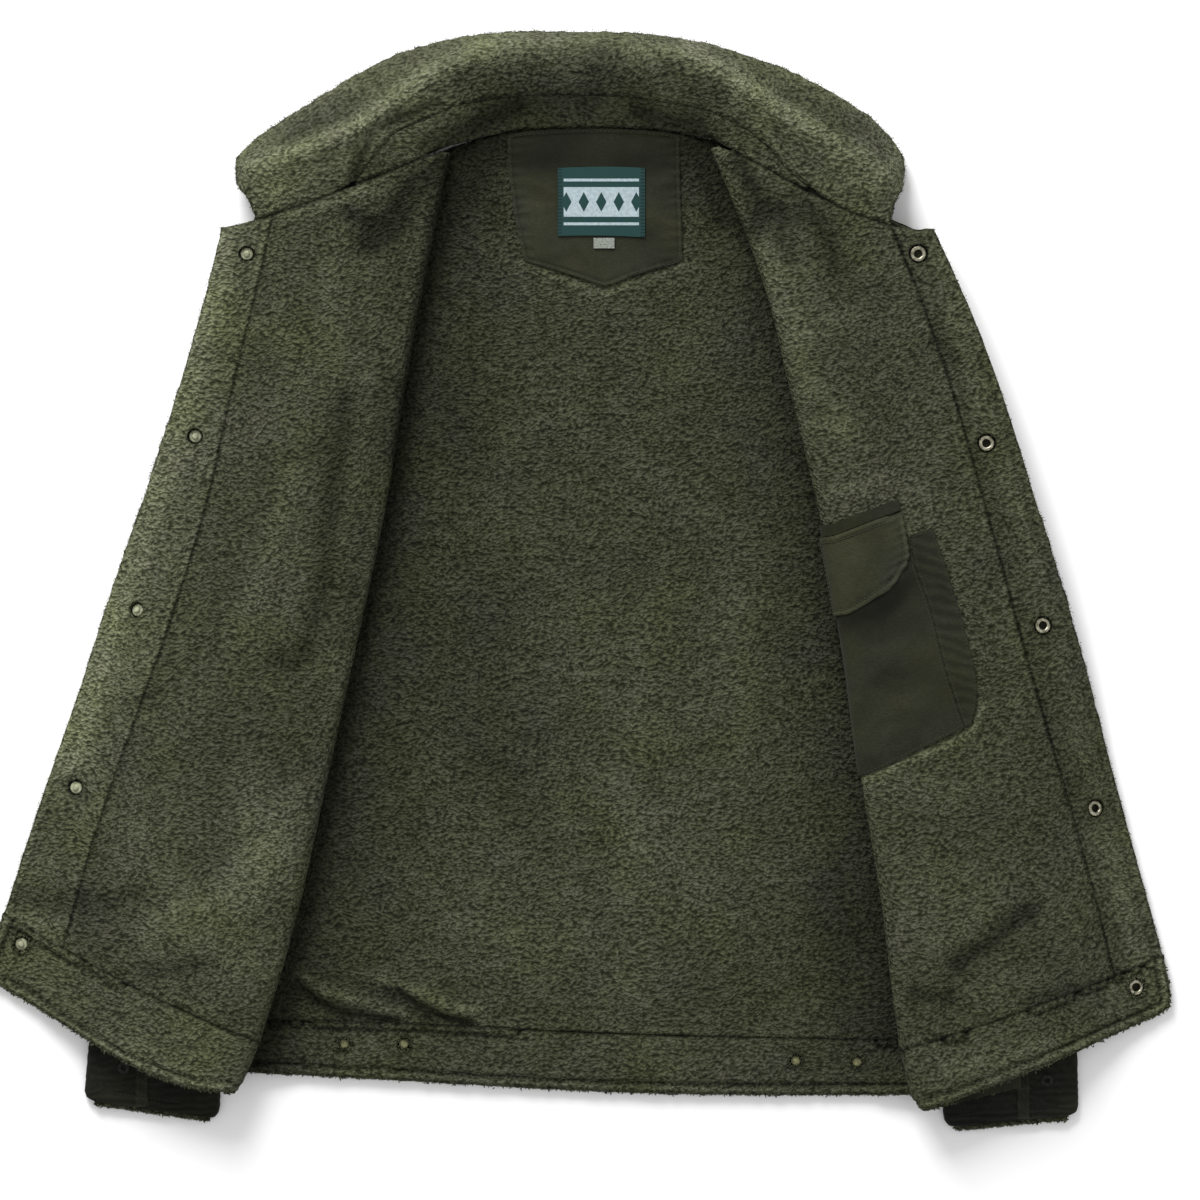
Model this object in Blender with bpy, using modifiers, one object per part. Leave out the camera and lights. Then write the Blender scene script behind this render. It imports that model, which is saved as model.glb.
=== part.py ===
"""Sherpa lined jacket, laid open on its back.

Cotton canvas outside, sherpa pile inside. The back lies flat with its pile up. From each side
seam a front comes in over the back, turns over at a soft fold and goes out again, pile up. The
sleeves are folded behind the body, so the sides lie higher than the middle, and the cuffs show
below the hem. The collar is open, pile up, and rolls from the neck seam down to the surface.

Every cloth piece is a wall with the same rule: a smooth surface runs between canvas and pile, and
a piece fills the space between two heights above or below it. The surfaces are lofted through
the sections in the tables below.

Metres, +Z up, +Y towards the collar, +X towards the wearer's left front. The origin is under the
middle of the whole jacket, on the surface that it lies on. The tables are in millimetres.
"""

import math
from collections import namedtuple

import bmesh
import bpy
from mathutils import Matrix, Vector

MM = 0.001

# Cloth
SHELL = 1.2 * MM            # canvas
PILE = 4.5 * MM             # sherpa: knitted ground and standing pile
SEAM = 0.3 * MM             # open space between two sewn pieces
LAYER = 0.9 * MM            # air between two layers that only lie on each other
TRIM = 1.2 * MM             # canvas of the patch and the pocket
LABEL = 1.0 * MM            # woven label
CANVAS = (-SEAM / 2 - SHELL, -SEAM / 2)
SHERPA = (SEAM / 2, SEAM / 2 + PILE)
ON_PILE = SHERPA[1] + SEAM

# Heights of the surface between canvas and pile, where no sleeve lies under it
BACK_LEVEL = -CANVAS[0]
UNDER_LEVEL = BACK_LEVEL + SHERPA[1] + LAYER + SHERPA[1]
TOP_LEVEL = UNDER_LEVEL + 2 * BACK_LEVEL + LAYER
FOLD_RADIUS = 3.5 * MM      # how softly a front turns over
FOLD_REACH = 32 * MM        # how far the roll of the fold lifts the cloth
SIDE_RADIUS = (UNDER_LEVEL - BACK_LEVEL) / 2

# Sleeves under the body
CUFF_HEIGHT = 6.6 * MM
CUFF_WALL, CUFF_LINING = 1.2 * MM, 1.4 * MM
SLEEVE_LIFT = CUFF_HEIGHT + 2 * SEAM + TRIM
OUTER_SLOPE = 62 * MM       # cloth comes down to the surface over this width
INNER_SLOPE = 60 * MM
SIDE_SLOPE = 62 * MM
SIDE_CLEAR = 7 * MM         # level cloth beyond the side turn, before it comes down
SLEEVE_REACH = 0.55         # how much of the inner slope the folded sleeve fills
SLEEVE_THIN = 1.4 * MM      # least thickness of the folded sleeve
SLEEVE_ROUND = 0.10         # its rounded outer edge, as a share of its width
SLEEVE_SHARES = (0.0, 0.03, 0.10, 0.30, 0.60, 0.72, 0.82, 0.92, 1.0)

# Grid lines across a front: side turn, under layer, fold, panel, placket
K_SEAM, K_INNER, K_UNDER, K_APEX, K_TOP, K_PLACKET, K_EDGE = 4, 6, 10, 13, 16, 22, 25
K_WRAP = K_APEX - 0.5       # how far round the fold the pocket goes
BACK_LINES = (0, 3, 7, 15, 19, 22)  # side seam, sleeve, end of its slope, and the same again
T_BAND = 0.06               # top of the hem band, as a share of the length
PANEL_ROWS = 12             # rows of the grid above it
T_SLEEVE = 0.97             # how high the folded sleeve reaches

LEFT, RIGHT = "left", "right"
OUTWARD = {LEFT: 1, RIGHT: -1}

# Sections of the fronts, hem to neckline. The fold and the opening edge of each section in plan,
# how far the section bows towards the hem near the fold and near the edge, and the placket width.
Front = namedtuple("Front", "t fold_x fold_y edge_x edge_y bow_in bow_out placket")
FRONTS = {
    RIGHT: [
        Front(0.000, -244, -372, -430, -287, 26, 2, 50),
        Front(0.060, -228, -334, -414, -243, 6, 4, 49),
        Front(0.201, -200, -238, -390, -169, 0, 0, 48),
        Front(0.342, -179, -142, -364, -95, 0, 0, 48),
        Front(0.483, -158, -45, -338, -20, 0, 0, 48),
        Front(0.624, -138, 50, -311, 54, 0, 0, 45),
        Front(0.765, -122, 147, -288, 128, 0, 0, 40),
        Front(0.887, -107, 230, -269, 192, 0, 2, 38),
        Front(1.000, -91, 309, -254, 252, 0, 9, 38),
    ],
    LEFT: [
        Front(0.000, 243, -384, 430, -310, 4, 2, 39),
        Front(0.060, 232, -340, 423, -273, 3, 2, 39),
        Front(0.201, 220, -241, 401, -194, 0, 0, 39),
        Front(0.342, 204, -143, 379, -115, 0, 0, 39),
        Front(0.483, 191, -45, 357, -37, 0, 0, 39),
        Front(0.624, 173, 53, 333, 42, 0, 0, 38),
        Front(0.765, 150, 150, 309, 121, 0, 0, 38),
        Front(0.887, 132, 222, 286, 184, 0, 9, 36),
        Front(1.000, 96, 313, 256, 251, 0, 25, 33),
    ],
}

# Side seams and armholes: how far out the body reaches at each height
Side = namedtuple("Side", "y x")
SIDES = {
    RIGHT: [Side(-351, -300), Side(-160, -289), Side(-16, -282), Side(56, -279),
            Side(128, -268), Side(200, -246), Side(261, -225)],
    LEFT: [Side(-367, 313), Side(-160, 318), Side(-16, 315), Side(56, 312),
           Side(128, 294), Side(200, 269), Side(261, 243)],
}

# The back's hem, and its top edge over the shoulders and the neck
Edge = namedtuple("Edge", "a y")
HEM = [Edge(0.00, -351), Edge(0.11, -356), Edge(0.28, -362), Edge(0.56, -371),
       Edge(0.87, -372), Edge(1.00, -367)]
NECK = [Edge(0.00, 261), Edge(0.15, 286), Edge(0.24, 303), Edge(0.30, 314), Edge(0.36, 321),
        Edge(0.42, 324), Edge(0.50, 325), Edge(0.56, 324), Edge(0.62, 321), Edge(0.69, 315),
        Edge(0.75, 303), Edge(0.85, 283), Edge(1.00, 246)]

# The sleeves folded behind: outer edge, and the line where the body starts to come down inside
Sleeve = namedtuple("Sleeve", "y outer inner")
SLEEVES = {
    RIGHT: [Sleeve(-390, -356, -258), Sleeve(-311, -351, -251), Sleeve(-160, -321, -227),
            Sleeve(-16, -292, -203), Sleeve(114, -276, -185), Sleeve(200, -252, -178),
            Sleeve(251, -235, -178)],
    LEFT: [Sleeve(-396, 362, 265), Sleeve(-311, 361, 261), Sleeve(-160, 340, 240),
           Sleeve(-16, 321, 222), Sleeve(114, 303, 202), Sleeve(200, 274, 191),
           Sleeve(251, 250, 186)],
}

# Cuffs: plan corners (outer and inner, at the top and at the opening)
Cuff = namedtuple("Cuff", "top outer_top inner_top outer_x outer_y inner_x inner_y strip")
CUFFS = {
    RIGHT: Cuff(-330, -352, -256, -356, -376, -258, -390, -314),
    LEFT: Cuff(-330, 361, 261, 362, -387, 265, -396, 322),
}
CUFF_STRIP_WIDTH = 9 * MM
CUFF_PILE_OUT = 2 * MM      # the cuff's pile stands out of its opening
CUFF_CORNER = 7 * MM        # radius of the flattened opening's corners, in plan
CUFF_SHARES = (0.0, 0.5, 0.87, 0.92, 0.955, 0.98, 0.993, 1.0)   # rings, top to opening

# Collar rows from the wearer's right tip to the left one. The neck seam is a grid line of the
# host's top edge, a gap away and lifted; seam is the share of the width taken by the stand.
Collar = namedtuple("Collar", "host line gap lift seam ridge_z edge_x edge_y edge_z")
COLLAR = [
    Collar(RIGHT, 23, 0.4, 0, 0.00, 25, -241, 284, 12),
    Collar(RIGHT, 22, 0.4, 0, 0.00, 27, -242, 301, 9),
    Collar(RIGHT, 21, 0.4, 0, 0.00, 28, -223, 319, 6),
    Collar(RIGHT, 20, 0.4, 0, 0.00, 29, -191, 340, 4),
    Collar(RIGHT, 19, 0.4, 0, 0.05, 30, -160, 359, 4),
    Collar(RIGHT, 18, 0.6, 0, 0.32, 30, -131, 374, 4),
    Collar(RIGHT, 17, 1.0, 0, 0.36, 30, -99, 384, 4),
    Collar(RIGHT, 13, 3.0, 0, 0.39, 31, -80, 388, 4),
    Collar("back", 8, 0.4, 10, 0.40, 31, -65, 389.5, 4),
    Collar("back", 9, 0.4, 0, 0.40, 31, -46, 391, 4),
    Collar("back", 10, 0.4, 0, 0.40, 32, -18, 391, 4),
    Collar("back", 11, 0.4, 0, 0.39, 32, 12, 391, 4),
    Collar("back", 12, 0.4, 0, 0.38, 32, 43, 390, 4),
    Collar("back", 13, 0.4, 0, 0.36, 31, 73, 386.5, 4),
    Collar("back", 14, 0.4, 10, 0.35, 31, 92, 382.5, 4),
    Collar(LEFT, 13, 3.0, 0, 0.33, 31, 108, 378.5, 4),
    Collar(LEFT, 17, 1.0, 0, 0.29, 30, 137, 369, 4),
    Collar(LEFT, 18, 0.6, 0, 0.14, 30, 175, 352, 4),
    Collar(LEFT, 19, 0.4, 0, 0.05, 30, 203, 335, 4),
    Collar(LEFT, 20, 0.4, 0, 0.00, 29, 222, 318, 5),
    Collar(LEFT, 21, 0.4, 0, 0.00, 28, 232, 301, 8),
    Collar(LEFT, 22, 0.4, 0, 0.00, 27, 231, 283, 11),
]
RIDGE_AT = 0.56             # the highest line, as a share of the width
STAND_ROWS = (4, 18)        # first and last row with a stand
LEAST_SEAM = 0.05           # the under-collar keeps a grid line here where there is none
FALL_CELLS, STAND_CELLS = 5, 2

# Pieces that lie on a panel, by rows of plan points from the bottom row up
Span = namedtuple("Span", "left_x left_y right_x right_y")
NECK_PATCH = [Span(-38, 229, 76, 229), Span(-45, 262, 75, 262), Span(-49, 292, 74, 292),
              Span(-50, 320, 74, 320)]
PATCH_POINT = 20 * MM       # the lower edge comes down to a point in its middle
PATCH_COLUMNS, PATCH_ROWS = 8, 6
WOVEN_LABEL = [Span(-14, 247, 49, 246), Span(-14, 296, 49, 296)]
SIZE_TAB = [Span(12, 238, 27, 238), Span(12, 245.5, 27, 245.5)]

# Rows of the pocket's pieces; a left side on the fold goes round it at that height
Pocket = namedtuple("Pocket", "fold_y right_x right_y")
POCKET_BAG = [Pocket(-141, 278, -107), Pocket(-112, 271, -88), Pocket(-75, 261, -55),
              Pocket(-50, 254, -24), Pocket(-24, 241, 11), Pocket(4, 238.5, 30)]
POCKET_SIDE = [Span(278.6, -106.6, 282, -105), Span(271.6, -88, 288, -86),
               Span(261.6, -55, 283, -54), Span(254.6, -24, 274, -22),
               Span(241.6, 11, 262, 17), Span(239.5, 31, 255, 36)]
POCKET_FLAP = [Pocket(-26, 224, -8), Pocket(-12, 236, 9), Pocket(6, 238, 17), Pocket(30, 233, 48)]
POCKET_BINDING = [Pocket(30.8, 232, 49), Pocket(39, 231, 57)]

# Snaps: sockets up the left placket, posts up the right one, adjuster backs along the hem band
Snap = namedtuple("Snap", "name x y host profile hole")
SNAPS = [Snap(f"snap_socket_{n + 1}", x, y, LEFT, "socket", 14)
         for n, (x, y) in enumerate([(245, 233), (294, 97), (334, -34), (372, -166), (403, -295)])]
SNAPS += [Snap(f"snap_post_{n + 1}", x, y, RIGHT, "post", 12)
          for n, (x, y) in enumerate([(-237, 233), (-274, 102), (-315, -23), (-361, -151),
                                      (-401, -264)])]
SNAPS += [Snap(f"adjuster_stud_{n + 1}", x, y, "back", "stud", 10)
          for n, (x, y) in enumerate([(-168, -336), (-125, -336), (158, -348), (202, -349)])]
SNAP_SEAT = SEAM            # a snap's foot, above the sheet between canvas and pile
SNAP_FOOT = 5.6 * MM
CUFF_SNAPS = {RIGHT: (-327, -353), LEFT: (339, -362)}
SNAP_SIDES = 12

# Turned profiles, radius and height, outer side from the top down and back up inside
SNAP_PROFILES = {
    "socket": [(4.6, 3.2), (5.6, 2.9), (6.0, 2.2), (5.4, 0.0), (2.9, 0.0), (2.9, 2.6), (3.6, 3.2)],
    "post": [(0.0, 3.4), (1.8, 3.2), (2.2, 2.6), (2.1, 1.7), (4.2, 1.4), (4.5, 0.8), (4.4, 0.0),
             (0.0, 0.0)],
    "stud": [(0.0, 2.6), (2.2, 2.4), (3.4, 1.8), (3.8, 1.0), (3.6, 0.0), (0.0, 0.0)],
    "cuff": [(3.4, 0.8), (4.3, 0.6), (4.4, 0.0), (2.0, 0.0), (2.0, 0.8)],
}

# name: colour, roughness, metallic
FINISH = {
    "canvas": ((0.030, 0.031, 0.020), 0.85, 0.0),
    "sherpa": ((0.062, 0.068, 0.038), 0.95, 0.0),
    "label": ((0.012, 0.060, 0.058), 0.60, 0.0),
    "tab": ((0.300, 0.320, 0.290), 0.70, 0.0),
    "brass": ((0.480, 0.430, 0.260), 0.35, 1.0),
}


# ---- Numbers ----------------------------------------------------------------------------------

def smooth(x):
    """Ease from 0 to 1 as x goes from 0 to 1."""
    x = min(max(x, 0.0), 1.0)
    return x * x * (3 - 2 * x)


def slope(rows, value, i):
    """Slope of a table's column at row i, by the rows beside it."""
    a, b = rows[max(i - 1, 0)], rows[min(i + 1, len(rows) - 1)]
    return (getattr(b, value) - getattr(a, value)) / (b[0] - a[0])


def curve(rows, value, at):
    """A table's column as a smooth curve over its first column."""
    at = min(max(at, rows[0][0]), rows[-1][0])
    i = 0
    while i < len(rows) - 2 and at > rows[i + 1][0]:
        i += 1
    a, b = rows[i], rows[i + 1]
    width = b[0] - a[0]
    s = (at - a[0]) / width
    start, end = getattr(a, value), getattr(b, value)
    bend_a = slope(rows, value, i) * width
    bend_b = slope(rows, value, i + 1) * width
    return (start * (1 + 2 * s) * (1 - s) ** 2 + bend_a * s * (1 - s) ** 2
            + end * s * s * (3 - 2 * s) - bend_b * s * s * (1 - s))


def place(rows, at, x="x", y="y"):
    """Plan point of a table at one height or share, in metres."""
    return Vector((curve(rows, x, at), curve(rows, y, at))) * MM


# ---- Surfaces of the body ---------------------------------------------------------------------

def sleeve_rise(x, y):
    """How far the sleeves lift what lies on them."""
    side = LEFT if x > 0 else RIGHT
    rows, out = SLEEVES[side], OUTWARD[side]
    outer = curve(rows, "outer", y / MM) * MM * out
    inner = curve(rows, "inner", y / MM) * MM * out
    rise = smooth((outer + OUTER_SLOPE - abs(x)) / OUTER_SLOPE)
    return SLEEVE_LIFT * rise * smooth((abs(x) - inner + INNER_SLOPE) / INNER_SLOPE)


def body_share(side, x, y):
    """1 over the body, 0 where a front has come down to the surface beside it."""
    seam = curve(SIDES[side], "x", y / MM) * MM * OUTWARD[side]
    return smooth((seam + SIDE_RADIUS + SIDE_CLEAR + SIDE_SLOPE - abs(x)) / SIDE_SLOPE)


def hem_and_neck(side):
    a = 1 if side == LEFT else 0
    return curve(HEM, "y", a), curve(NECK, "y", a)


def side_point(side, t):
    """Plan point of the side seam or armhole at a share of the length."""
    hem, neck = hem_and_neck(side)
    y = hem + (neck - hem) * t
    return Vector((curve(SIDES[side], "x", y), y)) * MM


def sleeve_line(side, t):
    """Where the sleeve's lift begins to fall off towards the middle."""
    return curve(SLEEVES[side], "inner", side_point(side, t).y / MM) * MM


def back_point(k, t):
    """The back: k grid lines from the right side seam, t from hem to neck."""
    sleeves = [sleeve_line(side, t) for side in (RIGHT, LEFT)]
    stops = [side_point(RIGHT, t).x, sleeves[0], sleeves[0] + INNER_SLOPE,
             sleeves[1] - INNER_SLOPE, sleeves[1], side_point(LEFT, t).x]
    i = sum(k > line for line in BACK_LINES[1:-1])
    share = (k - BACK_LINES[i]) / (BACK_LINES[i + 1] - BACK_LINES[i])
    x = stops[i] + (stops[i + 1] - stops[i]) * share
    a = (x - stops[0]) / (stops[-1] - stops[0])
    y = (curve(HEM, "y", a) * (1 - t) + curve(NECK, "y", a) * t) * MM
    return Vector((x, y, BACK_LEVEL + sleeve_rise(x, y)))


def placket_share(side, t, length):
    """Where the placket seam crosses the panel, as a share of its width."""
    return 1 - curve(FRONTS[side], "placket", t) * MM / length


def front_point(side, k, t):
    """A front: k grid lines round the side turn, the under layer, the fold and the panel."""
    rows = FRONTS[side]
    fold, edge = place(rows, t, "fold_x", "fold_y"), place(rows, t, "edge_x", "edge_y")
    seam = side_point(side, t)
    over, under = (edge - fold).normalized(), (seam - fold).normalized()
    inset = SHERPA[1] + FOLD_RADIUS
    if k < K_SEAM:
        turn = math.pi * (K_SEAM - k) / K_SEAM
        x = seam.x + OUTWARD[side] * SIDE_RADIUS * math.sin(turn)
        z = BACK_LEVEL + SIDE_RADIUS * (1 + math.cos(turn))
        return Vector((x, seam.y, z + sleeve_rise(seam.x, seam.y)))
    if k < K_UNDER:
        start = fold + under * inset
        middle = (sleeve_line(side, t) - seam.x) / (start.x - seam.x)
        if k < K_INNER:
            share = middle * (k - K_SEAM) / (K_INNER - K_SEAM)
        else:
            share = middle + (1 - middle) * (k - K_INNER) / (K_UNDER - K_INNER)
        plan = seam.lerp(start, share)
        return Vector((plan.x, plan.y, UNDER_LEVEL + sleeve_rise(plan.x, plan.y)))
    if k < K_TOP:
        turn = math.pi / 2 * (k - K_APEX) / (K_TOP - K_APEX)
        way = under.lerp(over, (1 + math.sin(turn)) / 2)
        plan = fold + way * (inset - FOLD_RADIUS * math.cos(turn))
        z = UNDER_LEVEL + FOLD_RADIUS * (1 + math.sin(turn))
        return Vector((plan.x, plan.y, z + sleeve_rise(plan.x, plan.y)))
    start = fold + over * inset
    length = (edge - start).length
    seam_at = placket_share(side, t, length)
    if k < K_PLACKET:
        f = seam_at * (k - K_TOP) / (K_PLACKET - K_TOP)
    else:
        f = seam_at + (1 - seam_at) * (k - K_PLACKET) / (K_EDGE - K_PLACKET)
    bow = 3 * f * (1 - f) * ((1 - f) * curve(rows, "bow_in", t) + f * curve(rows, "bow_out", t))
    plan = start.lerp(edge, f) - Vector((0, bow * MM))
    roll = UNDER_LEVEL + 2 * FOLD_RADIUS - TOP_LEVEL
    z = BACK_LEVEL + (TOP_LEVEL - BACK_LEVEL) * body_share(side, plan.x, plan.y)
    z += roll * math.exp(-(f * length / FOLD_REACH) ** 2)
    return Vector((plan.x, plan.y, z + sleeve_rise(plan.x, plan.y)))


# ---- Surface of the collar --------------------------------------------------------------------

def collar_neck(row):
    """Where a collar row is sewn on, just past the edge of the front or the back."""
    if row.host == "back":
        point = back_point(row.line, 1.0)
    else:
        point = front_point(row.host, row.line, 1.0)
    return point + Vector((0, row.gap, row.lift)) * MM


Station = namedtuple("Station", "r neck_x neck_y neck_z seam ridge_z edge_x edge_y edge_z")


def collar_stations():
    stations = []
    for r, row in enumerate(COLLAR):
        neck = collar_neck(row) / MM
        stations.append(Station(r, neck.x, neck.y, neck.z, row.seam, row.ridge_z,
                                row.edge_x, row.edge_y, row.edge_z))
    return stations


STATIONS = collar_stations()


def collar_point(r, q):
    """The collar: r rows from the right tip, q from the neck seam to the outer edge."""
    neck = place(STATIONS, r, "neck_x", "neck_y")
    edge = place(STATIONS, r, "edge_x", "edge_y")
    neck_z, ridge_z, edge_z = (curve(STATIONS, c, r) for c in ("neck_z", "ridge_z", "edge_z"))
    if q < RIDGE_AT:
        z = neck_z + (ridge_z - neck_z) * smooth(q / RIDGE_AT)
    else:
        fall = (q - RIDGE_AT) / (1 - RIDGE_AT)
        z = ridge_z - (ridge_z - edge_z) * fall * fall
    plan = neck.lerp(edge, q)
    return Vector((plan.x, plan.y, z * MM))


# ---- Walls ------------------------------------------------------------------------------------

STEP = 0.001


class Surface:
    """A sheet between canvas and pile: a function of k along it and t up it, from 0 to 1."""

    def __init__(self, function, pile_sign, k_last, level):
        self.function = function
        self.pile_sign = pile_sign      # which side of the sheet the pile is on
        self.k_last = k_last
        self.level = level      # the direction, "along" or "up", a wall's edges stay square to

    def __call__(self, k, t):
        return self.function(k, t)

    def along(self, k, t):
        first, last = max(k - STEP, 0.0), min(k + STEP, self.k_last)
        return (self(last, t) - self(first, t)) / (last - first)

    def up(self, k, t):
        first, last = max(t - STEP, 0.0), min(t + STEP, 1.0)
        return (self(k, last) - self(k, first)) / (last - first)

    def normal(self, k, t):
        along, up = self.along(k, t), self.up(k, t)
        if self.level == "along":
            along.z = 0
        else:
            up.z = 0
        return along.cross(up).normalized() * self.pile_sign

    def lifted(self, k, t, height):
        return self(k, t) + self.normal(k, t) * height

    def facet(self, k, t):
        """The point at (k, t) on the facets that a wall is modelled with."""
        i = min(int(k), self.k_last - 1)
        j = sum(t > row for row in ROWS[1:-1])
        across, share = k - i, (t - ROWS[j]) / (ROWS[j + 1] - ROWS[j])
        first, last = self(i, ROWS[j]), self(i + 1, ROWS[j + 1])
        if across > share:
            middle = self(i + 1, ROWS[j])
            return first + (middle - first) * across + (last - middle) * share
        middle = self(i, ROWS[j + 1])
        return first + (middle - first) * share + (last - middle) * across


BACK = Surface(back_point, 1, BACK_LINES[-1], "up")
FRONT = {
    RIGHT: Surface(lambda k, t: front_point(RIGHT, k, t), -1, K_EDGE, "up"),
    LEFT: Surface(lambda k, t: front_point(LEFT, k, t), 1, K_EDGE, "up"),
}
COLLAR_SHEET = Surface(collar_point, 1, len(COLLAR) - 1, "along")


def spread(start, end, cells):
    return [start + (end - start) * i / cells for i in range(cells + 1)]


BAND_ROWS = [0, T_BAND]
ABOVE_ROWS = spread(T_BAND, 1, PANEL_ROWS)
ROWS = BAND_ROWS + ABOVE_ROWS[1:]


def seamed(surface, ks, ts, sides):
    """Grid of (k, t), drawn in by half a seam on the named sides: west, east, south, north."""
    grid = [[[k, t] for k in ks] for t in ts]
    for row in grid:
        first, last = row[0], row[-1]
        if "w" in sides:
            first[0] += SEAM / 2 / surface.along(*first).length
        if "e" in sides:
            last[0] -= SEAM / 2 / surface.along(*last).length
    for i in range(len(ks)):
        low, high = grid[0][i], grid[-1][i]
        if "s" in sides:
            low[1] += SEAM / 2 / surface.up(*low).length
        if "n" in sides:
            high[1] -= SEAM / 2 / surface.up(*high).length
    return grid


def shell_mesh(name, under, over):
    """Closed wall between two grids of points, each of its sides cut on the same diagonals."""
    mesh = bmesh.new()
    under, over = ([[mesh.verts.new(p) for p in row] for row in skin] for skin in (under, over))
    sides = [under, over]
    sides += [[under[j], over[j]] for j in (0, -1)]
    sides += [[[row[i] for row in under], [row[i] for row in over]] for i in (0, -1)]
    for side in sides:
        for low, high in zip(side, side[1:]):
            for i in range(len(low) - 1):
                mesh.faces.new((low[i], low[i + 1], high[i + 1]))
                mesh.faces.new((low[i], high[i + 1], high[i]))
    bmesh.ops.recalc_face_normals(mesh, faces=mesh.faces)
    data = bpy.data.meshes.new(name)
    mesh.to_mesh(data)
    mesh.free()
    return data


def wall(name, surface, grid, heights, finish):
    """A cloth piece: the grid's places on the surface, between two heights."""
    skins = [[[surface.lifted(k, t, h) for k, t in row] for row in grid] for h in heights]
    return add_piece(name, shell_mesh(name, *skins), finish)


# ---- Objects ----------------------------------------------------------------------------------

def clear_scene():
    for item in list(bpy.data.objects):
        bpy.data.objects.remove(item, do_unlink=True)


def new_collection(name):
    collection = bpy.data.collections.new(name)
    bpy.context.scene.collection.children.link(collection)
    return collection


def new_material(name, finish):
    colour, roughness, metallic = FINISH[finish]
    material = bpy.data.materials.new(name)
    material.use_nodes = True
    shader = material.node_tree.nodes["Principled BSDF"]
    shader.inputs["Base Color"].default_value = (*colour, 1.0)
    shader.inputs["Roughness"].default_value = roughness
    shader.inputs["Metallic"].default_value = metallic
    return material


def add_piece(name, data, finish):
    """One sub-part: its own object and material, shaded smooth but for its edges."""
    piece = bpy.data.objects.new(name, data)
    JACKET.objects.link(piece)
    data.materials.append(new_material(name, finish))
    data.shade_smooth()
    data.set_sharp_from_angle(angle=math.radians(50))
    piece.parent = STAND
    return piece


def turned(name, profile, finish, matrix):
    """A snap part: a profile turned about Z with a Screw modifier."""
    mesh = bmesh.new()
    points = [mesh.verts.new((r * MM, 0, z * MM)) for r, z in profile]
    closed = profile[0][0] > 0
    for a, b in zip(points, points[1:] + (points[:1] if closed else [])):
        mesh.edges.new((a, b))
    data = bpy.data.meshes.new(name)
    mesh.to_mesh(data)
    mesh.free()
    piece = add_piece(name, data, finish)
    piece.matrix_world = matrix
    screw = piece.modifiers.new("turn", "SCREW")
    screw.steps = screw.render_steps = SNAP_SIDES
    screw.use_merge_vertices = True
    screw.merge_threshold = 0.00001
    return piece


def cut_hole(piece, matrix, diameter):
    """A round seat through a piece, square to its surface."""
    bpy.ops.mesh.primitive_cylinder_add(vertices=SNAP_SIDES, radius=diameter / 2, depth=4 * PILE)
    cutter = bpy.context.object
    for collection in list(cutter.users_collection):
        collection.objects.unlink(cutter)
    CUTTERS.objects.link(cutter)
    cutter.name = f"seat_{len(CUTTERS.objects)}"
    cutter.matrix_world = matrix
    cutter.parent = STAND
    cutter.hide_render = True
    cutter.display_type = "WIRE"
    cut = piece.modifiers.new(cutter.name, "BOOLEAN")
    cut.operation = "DIFFERENCE"
    cut.solver = "EXACT"
    cut.object = cutter


# ---- Pieces -----------------------------------------------------------------------------------

def find(surface, x, y, k, t):
    """The (k, t) of a plan point on an upward part of a surface, by Newton's steps."""
    for _ in range(12):
        miss = Vector((x, y)) * MM - surface(k, t).xy
        a, b = surface.along(k, t), surface.up(k, t)
        det = a.x * b.y - a.y * b.x
        k += (miss.x * b.y - miss.y * b.x) / det
        t = min(max(t + (a.x * miss.y - a.y * miss.x) / det, 0.0), 1.0)
    return k, t


def back_pieces():
    ks = spread(0, BACK_LINES[-1], BACK_LINES[-1])
    wall("back_shell", BACK, seamed(BACK, ks, ROWS, "we"), CANVAS, "canvas")
    wall("back_lining", BACK, seamed(BACK, ks, ABOVE_ROWS, "wes"), SHERPA, "sherpa")
    return wall("hem_band_back", BACK, seamed(BACK, ks, BAND_ROWS, "wen"), SHERPA, "sherpa")


def front_pieces(side):
    surface = FRONT[side]
    inside = spread(K_SEAM, K_PLACKET, K_PLACKET - K_SEAM)
    placket = spread(K_PLACKET, K_EDGE, K_EDGE - K_PLACKET)
    wall(f"front_{side}_shell", surface, seamed(surface, spread(0, K_EDGE, K_EDGE), ROWS, "n"),
         CANVAS, "canvas")
    wall(f"front_{side}_lining", surface, seamed(surface, inside, ABOVE_ROWS, "esn"),
         SHERPA, "sherpa")
    facing = wall(f"placket_{side}", surface, seamed(surface, placket, ABOVE_ROWS, "wsn"),
                  SHERPA, "sherpa")
    strip = wall(f"hem_band_{side}", surface,
                 seamed(surface, inside + placket[1:], BAND_ROWS, "n"), SHERPA, "sherpa")
    return facing, strip


def collar_pieces():
    """Under-collar, stand and fall, on the same grid lines; the seam is one of them."""
    width = collar_width()
    under, stand, fall = [], [], []
    for r in range(len(COLLAR)):
        sewn = STAND_ROWS[0] <= r <= STAND_ROWS[1]
        seam = max(curve(STATIONS, "seam", r), LEAST_SEAM)
        low, high = spread(0, seam, STAND_CELLS), spread(seam, 1, FALL_CELLS)
        under.append([(r, q) for q in low + high[1:]])
        if sewn:
            stand.append([(r, q) for q in low[:-1]] + [(r, seam - SEAM / 2 / width)])
        fall.append([(r, seam + SEAM / 2 / width if sewn else 0.0)] + [(r, q) for q in high[1:]])
    for name, grid, heights, finish in (("under_collar", under, CANVAS, "canvas"),
                                        ("collar_stand", stand, SHERPA, "sherpa"),
                                        ("collar_fall", fall, SHERPA, "sherpa")):
        wall(name, COLLAR_SHEET, grid, heights, finish)


def collar_width():
    """Mean width of the collar in plan."""
    widths = [Vector((s.edge_x - s.neck_x, s.edge_y - s.neck_y)).length for s in STATIONS]
    return sum(widths) / len(widths) * MM


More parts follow.
